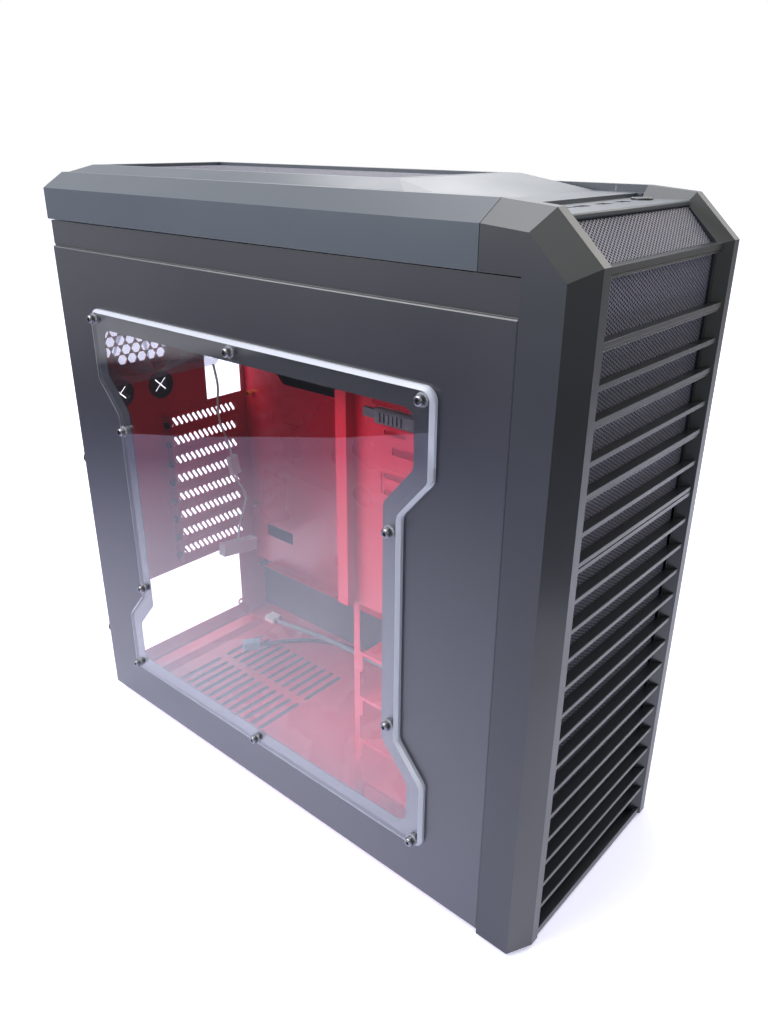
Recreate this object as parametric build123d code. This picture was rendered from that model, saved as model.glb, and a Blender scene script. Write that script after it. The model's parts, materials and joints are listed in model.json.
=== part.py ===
from build123d import *
import os
from math import cos, radians, sin, sqrt

# A windowed desktop computer tower, empty, with its fans, drive cages and front panel.
# Millimetres. X runs from the windowed left side to the right, Y from the front to the back, Z up.
# The sub-parts are built with X = 0 midway between the side panels, Y = 0 at the seam between
# side panels and front bezel, and Z = 0 on the ground. The last lines move that to the origin.

# The case
case_width = 212.0          # over the two side panels
panel_length = 458.0
panel_height = 435.7
panel_ground_gap = 6.0      # ground to the lower edge of a side panel
sheet = 0.8                 # painted steel
fit_gap = 0.4               # between parts that slide past each other
bezel_seam = 0.4            # side panel to bezel
strip_gap = 1.5             # top of a side panel to the chassis strip above it
strip_height = 18.8
hook_depth = 1.8            # how far the panels' lips reach behind the chassis
rear_flange = 6.0           # side panel's fold over the back
moulding = 2.5              # wall of the plastic mouldings
proud = 1.0                 # plastic mouldings stand this far outside the side panels

# Window
window_length = 358.0
window_height = 347.0
window_thickness = 5.0
window_bevel = 2.4
window_lap = 15.5           # acrylic over the steel, all round
window_centre_y = 229.0
window_centre_up = 217.5    # above the panel's lower edge
waist_inset = 24.0
waist_half_height = 86.5
waist_rise = 28.0
window_corner = 9.0
window_screw_edge = 7.5     # screw centre to the acrylic's edge
waist_screw_up = 75.0
window_screw_radius = 1.5
window_head_radius = 3.4
window_head_height = 4.2
window_washer_radius = 4.6
window_washer = 0.9
window_nut_radius = 3.0
window_nut = 2.0

# Front bezel
column_face = 18.3          # side face to crest, across the case
crest_width = 7.7
reveal = 6.7                # crest to the opening, across the case
nose_depth = 35.3           # seam to crest
shoulder_depth = 26.0       # seam to where the side face ends
reveal_depth = 27.8         # seam to the foot of the reveal
bezel_wrap = 26.5           # bezel's cheeks reach back over the chassis strip
bezel_ground_gap = 3.8
crest_rise = 36.2           # crest above the chassis roof
cheek_drop = 11.4           # crest to the side face's upper edge
top_fall = 0.085            # slope of the cheek's top
nose_fall = 0.94            # slope of the bevelled nose
kink_height = 3.7           # bar across the foot of the slanted mesh
kink_drop = 1.6             # crest's kink to the top of that bar
kink_front = 30.5
kink_back = 23.5
bar_height = 3.4
bar_depth = 8.0
bar_slope = 1.2             # a louvre's top falls this much to the back
bar_front = 34.0            # seam to the louvres' front
grille_bars = 14
grille_first = 19.6         # foot bar's top to the lowest louvre
grille_gap = 0.3            # louvres of the grille to the columns
mesh_sheet = 0.8
mesh_depth = 25.6           # seam to the mesh's back
bezel_foot = 6.3
peg_radius = 2.4
peg_length = 7.0

# Drive bays behind the bezel
bay_width = 148.3
bay_pitch = 42.4
bay_count = 4
bay_bottom = 300.0
cover_gap = 0.5
cover_wall = 1.6
cover_depth = 18.0
cover_lip = 0.8             # louvre's front to the wall under it
cage_length = 142.0
cage_flange = 9.0
cage_strip = 10.0
drive_screw_low = 6.1       # lower row of screw slots above a bay's bottom
drive_screw_rows = 11.8
drive_screw_front = 17.8
drive_screw_pitch = 79.2
drive_slot = 19.0
drive_slot_width = 3.6
hook_slot = (84.0, 109.0)   # slot for a drive rail's hook, from front to back
hook_slot_up = 34.0         # above a bay's bottom
hook_slot_height = 5.5
latch_window = (44.0, 126.0)
latch_window_height = 7.0
latch_length = 110.0
latch_back = 132.0
latch_arm = 12.0            # thinner end behind the latch's body
latch_height = 10.0
latch_thickness = 6.0
latch_window_gap = 0.8      # latch to the cut-out above it
latched_bays = (2, 3, 4)    # counted from the bottom
latch_pin = 1.5
latch_pin_reach = 0.9       # past the cage's inner face

# Lower drive cage
lower_cage_top = 210.0
shelf_pitch = 41.1
shelf_first = 44.1
shelf_count = 4
shelf_width = 24.0
cage_column = 9.0
cage_fan_gap = 3.0          # front fan to the lower cage's sides
cage_hatch = 50.0           # half width of the hole in its top
shelf_start = 32.0

# Inside
tray_gap = 16.0             # tray to the right side panel's inner face
tray_front = 152.0
tray_bottom = 81.0
tray_fold = 12.0
emboss = 0.8
emboss_span = (172.0, 398.0)
emboss_heights = ((158.0, 196.0), (216.0, 254.0))
socket_window = (310.0, 406.0, 295.0, 410.0)     # y low, y high, z low, z high
cable_window = (391.0, 432.0, 114.0, 128.0)
io_width = 44.45
io_height = 158.75
io_drop = 24.45             # roof to the port shield's opening
io_to_tray = 5.5
slot_pitch = 20.32
slot_count = 8
slot_drop = 13.5            # port shield's opening to the top slot's centre
slot_cover_height = 18.4
slot_cover_length = 92.0
slot_to_tray = 58.5         # tray to the middle of the slot covers
vent_count = 14
vent_pitch = 6.0
vent_width = 3.0
vent_length = 10.3
vent_tilt = 31.0
psu_width = 142.0
psu_height = 79.0
psu_centre = -5.0           # across the case
psu_rise = 15.6             # floor to the power supply's opening
psu_hole_pitch = 138.0
screw_radius = 1.75
grommet_radius = 11.0
grommet_rim = 2.5
grommet_wall = 2.2
grommet_skin = 1.0          # slit membrane
grommet_slit = 1.3
grommet_pitch = 44.4
grommet_gap = 1.5           # rear fan to the grommets' rims
standoff_radius = 2.8
standoff_length = 6.4
standoff_hole = 1.5
board_columns = (0.0, 157.48, 227.33)
board_rows = (0.0, 154.94, 281.94)
board_first_column = 12.0   # back panel to the first column
board_row_drop = 4.75       # port shield's upper edge to the first row
foot_radius = 15.0
foot_inset = 34.0
floor_vent_rows = 12
floor_vent_pitch = 11.0
floor_vent_start = 284.0
floor_vent_length = 52.0
floor_vent_width = 5.0
ramp_height = 5.0

# Fans
fan_size = 140.0
fan_depth = 25.0
fan_bore = 66.5
fan_hole_pitch = 124.5
fan_hole = 2.2
fan_hub = 22.0
fan_blades = 9
fan_corner = 7.0
tip_gap = 1.6
rear_fan_gap = 1.2          # roof to the rear fan
top_fan_y = 352.0
spare_fan_y = 200.0
front_fan_height = 108.0
hex_pitch = 10.4
hex_wall = 1.8
vent_radius = 66.0

# Top cover
plateau_rise = 5.3          # above the crest
plateau_front = 115.0
plateau_back = 448.0
plateau_edge = 41.0         # side face to the plateau's edge, across the case
ridge_edge = 24.0
trough_drop = 4.7           # below the crest
ramp_foot = 62.0
strip_back = 31.0           # back of the port strip
cover_peg_rows = (50.0, 240.0, 420.0)
strip_front = -6.3
strip_drop = 7.2            # crest to the port strip
strip_lip = 3.6             # height of the strip's front edge
strip_lip_thick = 2.0
strip_round = 1.2
lip_gap = 0.5               # strip's lip to the slanted mesh under it
top_mesh_margin = 7.0

# Port strip
lead_hole = ((78.0, 100.0), (62.0, 90.0))       # in the roof, for the leads
board_drop = 13.0           # port strip to the board's underside
board_thick = 1.6
port_y = 17.0
usb_width = 13.2
usb_depth = 5.8
jack_radius = 3.2
power_x = 54.0
power_radius = 6.8
reset_x = -56.0
reset_radius = 3.0
button_travel = 1.5
button_stand = 1.3

# Fasteners
thumb_radius = 6.5
thumb_head = 8.0
thumb_heights = (66.0, 250.0)
thumb_inset = 9.5
tab_width = 15.0
tab_height = 22.0

# Dust filter
filter_length = 182.0
filter_width = 122.0
filter_thick = 2.4

half_width = case_width / 2
panel_top = panel_ground_gap + panel_height
panel_back = bezel_seam + panel_length
chassis_side = half_width - sheet - fit_gap             # outer face of the chassis strips
lip_side = chassis_side - sheet - fit_gap               # outer face of the panels' lips
core_side = lip_side - sheet - 1.5 * fit_gap            # widest part that the panels slide past
floor_bottom = panel_ground_gap + sheet + hook_depth + 2.5 * fit_gap
floor_top = floor_bottom + sheet
strip_bottom = panel_top + strip_gap
roof_top = strip_bottom + strip_height
roof_bottom = roof_top - sheet
crest_top = roof_top + crest_rise
cheek_top = crest_top - cheek_drop
plateau_top = crest_top + plateau_rise
trough = crest_top - trough_drop
strip_top = crest_top - strip_drop
board_height = strip_top - board_drop
rear_face = panel_back - sheet - 0.75 * fit_gap
rear_inner = rear_face - sheet
front_plate = 0.6
front_inner = front_plate + sheet
tray_face = half_width - sheet - tray_gap
bay_side = bay_width / 2
cage_side = max(bay_side, fan_size / 2 + cage_fan_gap)   # wide enough for bays and fan
moulding_side = half_width + proud
opening_side = moulding_side - column_face - crest_width - reveal
cover_bottom = roof_top + 1.0
psu_bottom = floor_top + psu_rise
io_right = tray_face - io_to_tray
io_left = io_right - io_width
io_top = roof_bottom - io_drop
io_bottom = io_top - io_height
slot_top_centre = io_bottom - slot_drop
board_first_row = io_top - board_row_drop
rear_fan_x = io_left - 0.8 - fan_size / 2
rear_fan_height = roof_bottom - rear_fan_gap - fan_size / 2
grommet_height = rear_fan_height - fan_size / 2 - grommet_gap - grommet_rim - grommet_radius
slot_middle = tray_face - slot_to_tray
latch_travel = drive_slot - drive_slot_width - 2 * fit_gap
latch_up = drive_screw_low + drive_screw_rows - latch_height / 2
cover_front = bar_front - cover_lip
grille_low = bezel_ground_gap + bezel_foot
grille_top = bay_bottom - cover_gap
filter_x = psu_centre


def block(x, y, z):
    middle = [(low + high) / 2 for low, high in (x, y, z)]
    size = [high - low for low, high in (x, y, z)]
    return Pos(*middle) * Box(*size)


def rod(foot, direction, radius, length):
    """A round bar that starts at foot and runs along direction."""
    low = (Align.CENTER, Align.CENTER, Align.MIN)
    return Plane(origin=foot, z_dir=direction) * Cylinder(radius, length, align=low)


def prism(points, direction, length, corner=0.0):
    """The flat outline through points, pushed along direction."""
    face = make_face(Polyline(*points, close=True))
    if corner:
        face = fillet(face.vertices(), corner)
    return extrude(face, amount=length, dir=direction)


def both_sides(shape):
    return shape, mirror(shape, about=Plane.YZ)


def one(shapes):
    """Joins shapes that touch into one solid."""
    whole = shapes[0]
    for shape in shapes[1:]:
        whole = whole + shape
    return whole


# The window and the side panels

def waisted_outline(x, margin):
    """The window's outline, waisted at mid height, moved inwards by margin."""
    half_y = window_length / 2 - margin
    half_z = window_height / 2 - margin
    slant = sqrt(waist_inset ** 2 + waist_rise ** 2)
    waist = waist_half_height + margin * (slant - waist_rise) / waist_inset
    quarter = [(half_y, half_z), (half_y, waist + waist_rise), (half_y - waist_inset, waist)]
    half = quarter + [(y, -z) for y, z in reversed(quarter)]
    ring = half + [(-y, -z) for y, z in half]
    centre_z = panel_ground_gap + window_centre_up
    return [(x, window_centre_y + y, centre_z + z) for y, z in ring]


def window_screw_places():
    far_y = window_length / 2 - window_screw_edge
    far_z = window_height / 2 - window_screw_edge
    waist_y = far_y - waist_inset
    places = [(sy * far_y, sz * far_z) for sy in (-1, 0, 1) for sz in (-1, 1)]
    places += [(sy * waist_y, sz * waist_screw_up) for sy in (-1, 1) for sz in (-1, 1)]
    centre_z = panel_ground_gap + window_centre_up
    return [(window_centre_y + y, centre_z + z) for y, z in places]


def side_panel():
    """The plain panel on the left, its lips hooked behind the chassis, flange over the back."""
    skin = (-half_width, sheet - half_width)
    lip = (-lip_side, sheet - lip_side)
    length = (bezel_seam, panel_back)
    pieces = [block(skin, length, (panel_ground_gap, panel_top))]
    pieces.append(block((-half_width, lip[1]), length, (panel_top - sheet, panel_top)))
    pieces.append(block(lip, length, (panel_top - sheet, strip_bottom + hook_depth)))
    pieces.append(block((-half_width, lip[1]), length,
                        (panel_ground_gap, panel_ground_gap + sheet)))
    pieces.append(block(lip, length, (panel_ground_gap, floor_bottom - fit_gap)))
    back = (panel_back - sheet, panel_back)
    pieces.append(block((-half_width, rear_flange - half_width), back,
                        (panel_ground_gap, panel_top)))
    for height in thumb_heights:
        pieces.append(block((-half_width, tab_width - half_width), back,
                            (height - tab_height / 2, height + tab_height / 2)))
    panel = one(pieces)
    for height in thumb_heights:
        hole = (thumb_inset - half_width, panel_back - 2 * sheet, height)
        panel -= rod(hole, (0, 1, 0), screw_radius + 0.5 * fit_gap, 3 * sheet)
    return panel


def window_panel():
    opening = prism(waisted_outline(-half_width - 1, window_lap), (1, 0, 0), 2 + sheet,
                    window_corner)
    panel = side_panel() - opening
    for y, z in window_screw_places():
        panel -= rod((-half_width - 1, y, z), (1, 0, 0), window_screw_radius + 0.2, 2 + sheet)
    return panel


def window_acrylic():
    outer = -half_width - window_thickness
    pane = prism(waisted_outline(outer, 0), (1, 0, 0), window_thickness, window_corner)
    front = pane.faces().sort_by(Axis.X)[0]
    pane = chamfer(front.edges(), window_bevel)
    for y, z in window_screw_places():
        pane -= rod((outer - 1, y, z), (1, 0, 0), window_screw_radius + 0.2,
                    window_thickness + 2)
    return pane


def window_fasteners():
    """Screws, washers and nuts that clamp the acrylic to the steel."""
    face = -half_width - window_thickness
    inner = sheet - half_width
    screws, washers, nuts = [], [], []
    for y, z in window_screw_places():
        washer = rod((face - window_washer, y, z), (1, 0, 0), window_washer_radius, window_washer)
        bore = rod((face - window_washer, y, z), (1, 0, 0), window_screw_radius + 0.1,
                   window_washer)
        washers.append(washer - bore)
        seat = face - window_washer
        head = rod((seat, y, z), (-1, 0, 0), window_head_radius, window_head_height)
        head = fillet(head.edges().sort_by(Axis.X)[0], 1.4)
        socket = Plane(origin=(seat - window_head_height, y, z), z_dir=(1, 0, 0))
        head -= extrude(socket * RegularPolygon(1.5, 6), amount=2.0)
        shank = inner + window_nut - seat
        screws.append(head + rod((seat, y, z), (1, 0, 0), window_screw_radius, shank))
        flat = Plane(origin=(inner, y, z), z_dir=(1, 0, 0))
        nut = extrude(flat * RegularPolygon(window_nut_radius, 6), amount=window_nut)
        nuts.append(nut - rod((inner, y, z), (1, 0, 0), window_screw_radius, window_nut))
    return screws, washers, nuts


def thumbscrew(side, height):
    centre = side * (half_width - thumb_inset)
    head = rod((centre, panel_back + 0.1, height), (0, 1, 0), thumb_radius, thumb_head)
    head = fillet(head.edges().sort_by(Axis.Y)[-1], 1.0)
    flutes = []
    for turn in range(16):
        angle = radians(turn * 22.5)
        foot = (centre + thumb_radius * cos(angle), panel_back - 1,
                height + thumb_radius * sin(angle))
        flutes.append(rod(foot, (0, 1, 0), 0.55, thumb_head + 3))
    head -= flutes
    driver = panel_back + 0.1 + thumb_head
    for size in ((5.0, 1.2), (1.2, 5.0)):
        head -= block((centre - size[0] / 2, centre + size[0] / 2), (driver - 1.6, driver + 1),
                      (height - size[1] / 2, height + size[1] / 2))
    shank = rod((centre, rear_inner - 4, height), (0, 1, 0), screw_radius,
                panel_back + 0.2 - rear_inner + 4)
    return head + shank


# The steel chassis

def floor_pan():
    pan = block((-chassis_side, chassis_side), (front_plate, rear_face), (floor_bottom, floor_top))
    hem = (sheet - chassis_side, -chassis_side)
    hem_height = (floor_bottom - hook_depth, floor_bottom)
    for edge in both_sides(block((hem[1], hem[0]), (front_plate, rear_face), hem_height)):
        pan += edge
    slots = []
    for row in range(floor_vent_rows):
        for side in (-1, 1):
            middle = Pos(psu_centre + side * (floor_vent_length + 8) / 2,
                         floor_vent_start + row * floor_vent_pitch, floor_bottom - 1)
            slots.append(middle * extrude(SlotOverall(floor_vent_length, floor_vent_width),
                                          amount=sheet + 2))
    pan -= slots
    crest = floor_top + ramp_height
    ramp = [(0, 424, floor_top), (0, 431, crest), (0, 446, crest), (0, rear_inner, floor_top)]
    ramp = [(psu_centre - psu_width / 2, y, z) for _, y, z in ramp]
    pan += prism(ramp, (1, 0, 0), psu_width)
    for side in (-1, 1):
        guide_x = filter_x + side * (filter_width / 2 + fit_gap)
        guide = (guide_x, guide_x + side * 1.5)
        lip = (guide_x - side * 4, guide_x + side * 1.5)
        span = (rear_face - filter_length, rear_face)
        drop = floor_bottom - filter_thick - 2 * fit_gap
        pan += block(sorted(guide), span, (drop - 1.2, floor_bottom))
        pan += block(sorted(lip), span, (drop - 1.2, drop))
    return pan


def foot_places():
    for side in (-1, 1):
        for y in (30.0, panel_back - foot_inset + 8):
            yield side * (half_width - foot_inset + foot_radius), y


def feet():
    """Four moulded feet under the floor pan."""
    shapes = []
    for x, y in foot_places():
        foot = rod((x - (foot_radius if x > 0 else -foot_radius) * 0.2, y, 0), (0, 0, 1),
                   foot_radius, floor_bottom)
        shapes.append(chamfer(foot.edges().sort_by(Axis.Z)[0], 1.5))
    return shapes


def hexagons(centre_x, centre_z, y, depth):
    """Honeycomb of hexagonal holes inside a round vent."""
    cells = []
    row_pitch = hex_pitch * sqrt(3) / 2
    reach = int(vent_radius / row_pitch) + 1
    cell = RegularPolygon((hex_pitch - hex_wall) / sqrt(3), 6, major_radius=True, rotation=30)
    for row in range(-reach, reach + 1):
        for column in range(-reach, reach + 1):
            x = (column + 0.5 * (row % 2)) * hex_pitch
            z = row * row_pitch
            if sqrt(x ** 2 + z ** 2) + hex_pitch / 2 < vent_radius:
                spot = Plane(origin=(centre_x + x, y, centre_z + z), z_dir=(0, 1, 0))
                cells.append(extrude(spot * cell, amount=depth))
    return cells


def fan_holes(centre, axis, depth, radius=fan_hole):
    """The four screw holes round a fan position."""
    reach = fan_hole_pitch / 2
    holes = []
    for a in (-reach, reach):
        for b in (-reach, reach):
            foot = {"y": (centre[0] + a, centre[1], centre[2] + b),
                    "z": (centre[0] + a, centre[1] + b, centre[2])}[axis]
            way = {"y": (0, 1, 0), "z": (0, 0, 1)}[axis]
            holes.append(rod(foot, way, radius, depth))
    return holes


def slot_centres():
    return [slot_top_centre - index * slot_pitch for index in range(slot_count)]


def psu_screw_places():
    top = psu_bottom + psu_height - 2
    places = [(psu_centre - psu_hole_pitch / 2, top), (psu_centre + psu_hole_pitch / 2, top)]
    places += [(psu_centre - psu_hole_pitch / 2, top - 64), (psu_centre + psu_hole_pitch / 2, top - 74)]
    return places


def rear_panel():
    wall = (rear_inner, rear_face)
    panel = block((-core_side, core_side), wall, (floor_top, roof_bottom))
    cut_y = (rear_inner - 2, rear_face + 2)
    deep = cut_y[1] - cut_y[0]
    cuts = hexagons(rear_fan_x, rear_fan_height, cut_y[0], deep)
    cuts += fan_holes((rear_fan_x, cut_y[0], rear_fan_height), "y", deep)
    cuts.append(block((io_left, io_right), cut_y, (io_bottom, io_bottom + io_height)))
    half = slot_cover_length / 2 - 3
    for z in slot_centres():
        cuts.append(block((slot_middle - half, slot_middle + half), cut_y, (z - 6.5, z + 6.5)))
    psu = block((psu_centre - psu_width / 2, psu_centre + psu_width / 2), cut_y,
                (psu_bottom, psu_bottom + psu_height))
    for x, z in psu_screw_places():
        psu -= rod((x, cut_y[0], z), (0, 1, 0), 4.2, deep)
    cuts.append(psu)
    cuts += [rod((x, cut_y[0], z), (0, 1, 0), screw_radius, deep) for x, z in psu_screw_places()]
    for x in grommet_places():
        cuts.append(rod((x, cut_y[0], grommet_height), (0, 1, 0), grommet_radius, deep))
    for side in (-1, 1):
        for height in thumb_heights:
            cuts.append(rod((side * (half_width - thumb_inset), cut_y[0], height), (0, 1, 0),
                            screw_radius + 0.3, deep))
    panel -= cuts
    ledge_x = slot_middle - slot_cover_length / 2
    panel += block((ledge_x, ledge_x + sheet), (rear_inner - 11, rear_inner),
                   (slot_centres()[-1] - slot_pitch / 2, slot_centres()[0] + slot_pitch / 2))
    for z in slot_centres():
        panel -= rod((ledge_x - 1, rear_inner - 6, z), (1, 0, 0), screw_radius + 0.05, sheet + 2)
    return panel


def grommet_places():
    middle = rear_fan_x - 5.0
    return [middle - grommet_pitch / 2, middle + grommet_pitch / 2]


def hose_grommets():
    """Rubber rings with a thin membrane that a cross of two slits opens."""
    shapes = []
    rim = 1.5
    hollow = grommet_radius - grommet_wall
    back = (rear_inner + rear_face - grommet_skin) / 2
    for x in grommet_places():
        ring = rod((x, rear_inner - rim, grommet_height), (0, 1, 0), grommet_radius - 0.1,
                   sheet + 2 * rim)
        for start in (rear_inner - rim, rear_face):
            ring += rod((x, start, grommet_height), (0, 1, 0), grommet_radius + grommet_rim, rim)
        ring -= rod((x, rear_inner - 2 * rim, grommet_height), (0, 1, 0), hollow, sheet + 4 * rim)
        ring += rod((x, back, grommet_height), (0, 1, 0), hollow + 0.5, grommet_skin)
        for tilt in (45, 135):
            slit = Box(grommet_slit, 4 * grommet_skin, 2 * hollow - 1)
            ring -= Pos(x, back, grommet_height) * Rot(0, tilt, 0) * slit
        shapes.append(ring)
    return shapes


def slot_covers():
    """Vented covers over the expansion slots, each with its screw tab."""
    left = slot_middle - slot_cover_length / 2
    shapes = []
    for z in slot_centres():
        tall = (z - slot_cover_height / 2, z + slot_cover_height / 2)
        face = (rear_inner - sheet, rear_inner)
        cover = block((left + sheet, left + slot_cover_length), face, tall)
        vents = []
        for index in range(vent_count):
            x = slot_middle + (index - (vent_count - 1) / 2) * vent_pitch
            spot = Plane(origin=(x, rear_inner - sheet - 1, z), x_dir=(0, 0, 1),
                         z_dir=(0, 1, 0))
            slot = spot * SlotOverall(vent_length, vent_width, rotation=-vent_tilt)
            vents.append(extrude(slot, amount=sheet + 2))
        cover -= vents
        tab = block((left + sheet, left + 2 * sheet), (rear_inner - 11, rear_inner - sheet), tall)
        tab -= rod((left, rear_inner - 6, z), (1, 0, 0), screw_radius + 0.05, 4 * sheet)
        shapes.append(cover + tab)
    return shapes


def pan_screw(seat, direction, length, radius=screw_radius):
    """A pan head screw, its head standing on seat, its shank running along direction."""
    back = tuple(-value for value in direction)
    head = rod(seat, back, 1.9 * radius, 1.2 * radius)
    return head + rod(seat, direction, radius, length)


def chassis_screws():
    left = slot_middle - slot_cover_length / 2
    screws = [pan_screw((left, rear_inner - 6, z), (1, 0, 0), 5.0) for z in slot_centres()]
    for centre in ((rear_fan_x, rear_face, rear_fan_height),):
        for hole in fan_screw_feet(centre, "y"):
            screws.append(pan_screw(hole, (0, -1, 0), sheet + 6.0, fan_hole - 0.1))
    for hole in fan_screw_feet((0, front_plate, front_fan_height), "y"):
        screws.append(pan_screw(hole, (0, 1, 0), sheet + 6.0, fan_hole - 0.1))
    for hole in fan_screw_feet((0, top_fan_y, roof_bottom), "z"):
        screws.append(pan_screw(hole, (0, 0, 1), sheet + 6.0, fan_hole - 0.1))
    return screws


def fan_screw_feet(centre, axis):
    reach = fan_hole_pitch / 2
    for a in (-reach, reach):
        for b in (-reach, reach):
            if axis == "y":
                yield (centre[0] + a, centre[1], centre[2] + b)
            else:
                yield (centre[0] + a, centre[1] + b, centre[2])


def motherboard_tray():
    skin = (tray_face, tray_face + sheet)
    tray = block(skin, (tray_front, rear_inner), (tray_bottom, roof_bottom))
    tray += block((tray_face - tray_fold, tray_face + sheet), (tray_front, rear_inner - 30),
                  (tray_bottom, tray_bottom + sheet))
    wide = (tray_face - 1, tray_face + 3)
    y0, y1, z0, z1 = socket_window
    corner = [(wide[0], y0, z0), (wide[0], y1 - 10, z0), (wide[0], y1, z0 + 10),
              (wide[0], y1, z1), (wide[0], y0, z1)]
    tray -= prism(corner, (1, 0, 0), 4)
    y0, y1, z0, z1 = cable_window
    tray -= block(wide, (y0, y1), (z0, z1))
    for low, high in emboss_heights:
        z = (low, high)
        tray += block((tray_face - emboss, tray_face), emboss_span, z)
    return tray


def standoffs():
    shapes = []
    for column in board_columns:
        for row in board_rows:
            y = rear_face - board_first_column - column
            z = board_first_row - row
            spot = Plane(origin=(tray_face, y, z), z_dir=(-1, 0, 0))
            post = extrude(spot * RegularPolygon(standoff_radius, 6), amount=standoff_length)
            shapes.append(post - rod((tray_face, y, z), (-1, 0, 0), standoff_hole,
                                     standoff_length))
    return shapes


def roof_frame():
    plate = block((-chassis_side, chassis_side), (front_plate, rear_face),
                  (roof_bottom, roof_top))
    strip = block((-chassis_side, sheet - chassis_side), (front_plate, rear_face),
                  (strip_bottom, roof_top))
    for side in both_sides(strip):
        plate += side
    for y in (top_fan_y, spare_fan_y):
        plate -= rod((0, y, roof_bottom - 1), (0, 0, 1), fan_bore, sheet + 2)
        plate -= fan_holes((0, y, roof_bottom - 1), "z", sheet + 2)
    plate -= block(*lead_hole, (roof_bottom - 1, roof_top + 1))
    plate -= [rod((x, y, roof_bottom - 1), (0, 0, 1), peg_radius + 0.3, sheet + 2)
              for x, y in cover_peg_places()]
    return plate


def front_frame():
    wall = (front_plate, front_inner)
    plate = block((-core_side, core_side), wall, (floor_top, roof_bottom))
    deep = (front_plate - 1, front_inner + 1)
    plate -= block((-bay_side, bay_side), deep, (bay_bottom + 1, roof_bottom - 4))
    plate -= rod((0, deep[0], front_fan_height), (0, 1, 0), fan_bore, sheet + 2)
    plate -= fan_holes((0, deep[0], front_fan_height), "y", sheet + 2)
    plate -= [rod((x, deep[0], z), (0, 1, 0), peg_radius + 0.3, sheet + 2)
              for x, z in bezel_peg_places()]
    flange = block((-core_side, sheet - core_side), (front_inner, front_inner + 10),
                   (floor_top, roof_bottom))
    for side in both_sides(flange):
        plate += side
    return plate


def drive_slots(x):
    """Screw slots for the drives, two rows in each bay."""
    cuts = []
    for bay in range(bay_count):
        for row in (0, 1):
            z = bay_bottom + bay * bay_pitch + drive_screw_low + row * drive_screw_rows
            for step in (0, 1):
                y = drive_screw_front + step * drive_screw_pitch + drive_slot / 2
                spot = Plane(origin=(x, y, z), x_dir=(0, 1, 0), z_dir=(1, 0, 0))
                cuts.append(extrude(spot * SlotOverall(drive_slot, drive_slot_width), amount=4))
        low = bay_bottom + bay * bay_pitch
        if bay < bay_count - 1:
            cuts.append(block((x, x + 4), hook_slot,
                              (low + hook_slot_up, low + hook_slot_up + hook_slot_height)))
    return cuts


def latch_windows(x):
    """A cut-out above each latch, through which its rail is hooked into the cage."""
    cuts = []
    for bay in latched_bays:
        foot = bay_bottom + (bay - 1) * bay_pitch + latch_up + latch_height + latch_window_gap
        cuts.append(block((x, x + 4), latch_window, (foot, foot + latch_window_height)))
    return cuts


def bay_cage(side):
    """One side wall of the drive cage behind the bay covers."""
    inner = -bay_side
    outer = inner - sheet
    tall = (lower_cage_top, roof_bottom)
    wall = block((outer, inner), (front_inner, cage_length), tall)
    if side < 0:
        step = outer - cage_flange
        wall += block((step, inner), (cage_length, cage_length + sheet), tall)
        wall += block((step, step + sheet), (cage_length, cage_length + cage_strip), tall)
        z = bay_bottom + 2.5
        frame = block((outer - 0.6, outer), (62, 120), (z, z + 20))
        frame -= block((outer - 1, outer + 1), (64, 118), (z + 2, z + 18))
        wall += frame
        wall -= latch_windows(outer - 1.5)
    wall -= drive_slots(outer - 1.5)
    if side > 0:
        wall = mirror(wall, about=Plane.YZ)
        wall += block((bay_side, tray_face), (tray_front, tray_front + sheet), tall)
        wall += block((bay_side, bay_side + sheet), (cage_length, tray_front + sheet), tall)
    return wall


def bay_latch(bay):
    """Tool-less latch: a sliding rail whose two pins reach through the cage into the drive."""
    face = -bay_side - sheet - 0.2
    low = bay_bottom + (bay - 1) * bay_pitch
    z = low + latch_up
    rail = block((face - latch_thickness, face),
                 (latch_back - latch_length, latch_back - latch_arm), (z, z + latch_height))
    outside = rail.faces().sort_by(Axis.X)[0]
    rail = chamfer(outside.edges(), 1.2)
    rail += block((face - latch_thickness / 2, face), (latch_back - latch_arm - 1, latch_back),
                  (z + 2, z + latch_height - 2))
    grip = latch_back - latch_arm - 24
    for ridge in range(6):
        rail += block((face - latch_thickness - 0.9, face - latch_thickness + 0.1),
                      (grip + ridge * 3.6, grip + ridge * 3.6 + 1.6),
                      (z + 2, z + latch_height - 2))
    pin_z = low + drive_screw_low + drive_screw_rows
    for step in (0, 1):
        y = drive_screw_front + (step * drive_screw_pitch + drive_slot
                                 - drive_slot_width / 2 - fit_gap)
        rail += rod((face, y, pin_z), (1, 0, 0), latch_pin, 0.2 + sheet + latch_pin_reach)
    return rail


def drive_cage():
    """Open cage of folded steel under the large bays, with shelves for four drives."""
    inner = -cage_side
    outer = inner - sheet
    back = cage_length + 3
    cage = block((outer, -outer), (front_inner, back), (lower_cage_top - sheet, lower_cage_top))
    cage -= block((-cage_hatch, cage_hatch), (shelf_start + 8, back - 35),
                  (lower_cage_top - 2, lower_cage_top + 1))
    side = [block((outer, inner), (back - cage_column + 3, back), (floor_top, lower_cage_top)),
            block((outer, inner), (front_inner, front_inner + cage_column),
                  (floor_top, lower_cage_top))]
    for shelf in range(shelf_count):
        z = shelf_first + shelf * shelf_pitch
        side.append(block((outer, inner), (front_inner, back), (z - 3, z)))
        side.append(block((outer, inner + shelf_width), (shelf_start, back - cage_column),
                          (z - sheet, z)))
        side.append(block((outer, inner), (back - cage_column, back), (z - 18, z)))
    for piece in side:
        for copy in both_sides(piece):
            cage += copy
    return cage


# Fans: built lying on their back, then set in place

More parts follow.
